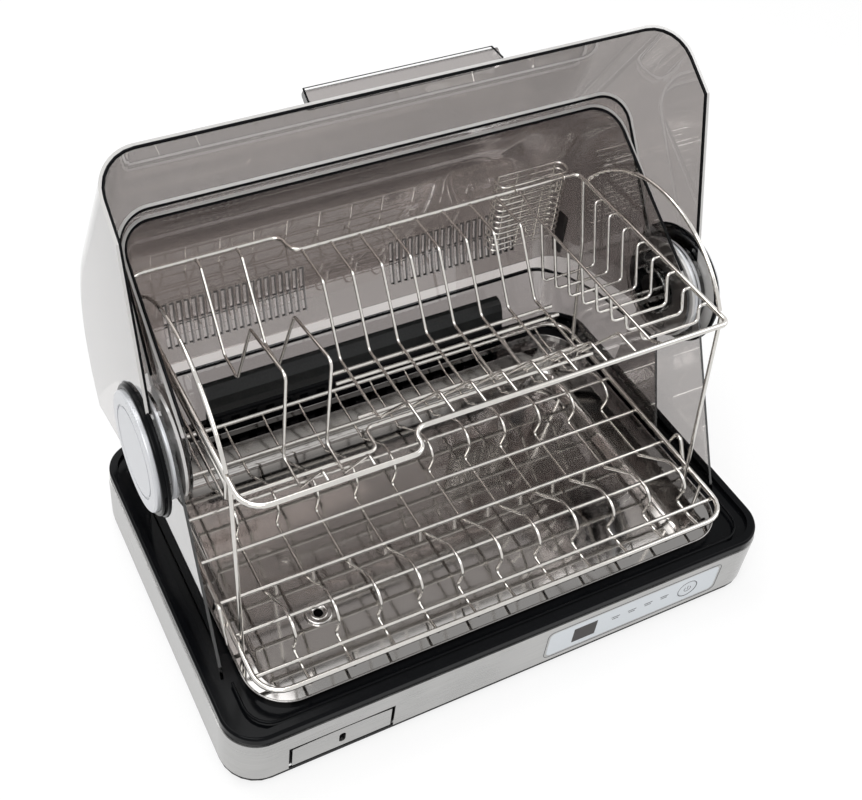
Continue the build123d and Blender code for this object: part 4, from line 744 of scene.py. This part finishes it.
bpy.ops.mesh.primitive_plane_add(size=FLOOR_SIZE, location=(0, 0, 0))
floor = bpy.context.object
floor.name = "floor"
floor_mat = bpy.data.materials.new("pale_floor")
floor_mat.use_nodes = True
tree = floor_mat.node_tree
tree.nodes.clear()
diffuse = tree.nodes.new("ShaderNodeBsdfDiffuse")
fill(tree, diffuse, {"Color": FLOOR_GREY})
glow = tree.nodes.new("ShaderNodeEmission")
fill(tree, glow, {"Color": WHITE, "Strength": 1.0})
reach = tree.nodes.new("ShaderNodeVectorMath")
reach.operation = "LENGTH"
fill(tree, reach, {0: tree.nodes.new("ShaderNodeTexCoord").outputs["Object"]})
fade = span(tree, reach.outputs["Value"], *FLOOR_GLOW, *FADE_REACH)
blend = tree.nodes.new("ShaderNodeMixShader")
fill(tree, blend, {0: maths(tree, "MULTIPLY", seen_rays(tree), fade), 1: diffuse.outputs[0],
                   2: glow.outputs[0]})
fill(tree, tree.nodes.new("ShaderNodeOutputMaterial"), {"Surface": blend.outputs[0]})
floor.data.materials.append(floor_mat)

world = bpy.data.worlds.new("studio")
scene.world = world
world.use_nodes = True
tree = world.node_tree
strength = span(tree, seen_rays(tree), WORLD_LIGHT, 1.0, 0.0, 1.0)
fill(tree, tree.nodes["Background"], {"Color": WHITE, "Strength": strength})


def softbox(name, place, aim, size, power):
    light = bpy.data.lights.new(name, "AREA")
    light.shape = "RECTANGLE"
    light.size, light.size_y = size
    light.energy = power
    lamp = bpy.data.objects.new(name, light)
    scene.collection.objects.link(lamp)
    lamp.location = place
    lamp.rotation_euler = (Vector(aim) - Vector(place)).to_track_quat("-Z", "Y").to_euler()


softbox("key", (-0.9, -0.9, 1.9), (0, 0, 0.15), (1.2, 1.2), 22)
softbox("fill", (1.6, -0.5, 1.3), (0, 0, 0.2), (1.0, 1.4), 9)
softbox("back", (-0.2, 1.5, 1.5), (0, 0.1, 0.3), (1.8, 0.9), 10)
softbox("top", (-0.3, 0.62, 1.75), (0, 0, 0.1), (1.1, 0.7), 9)

camera = bpy.data.cameras.new("camera")
camera.lens = 52.515
camera.sensor_width = 36.0
camera.shift_x = 0.1247
camera.shift_y = -0.0861
viewer = bpy.data.objects.new("camera", camera)
scene.collection.objects.link(viewer)
viewer.location = (-0.44599, -0.62376, 0.99759)
viewer.rotation_euler = Euler([math.radians(a) for a in (46.4971, -2.294, -25.2289)], "XYZ")
scene.camera = viewer
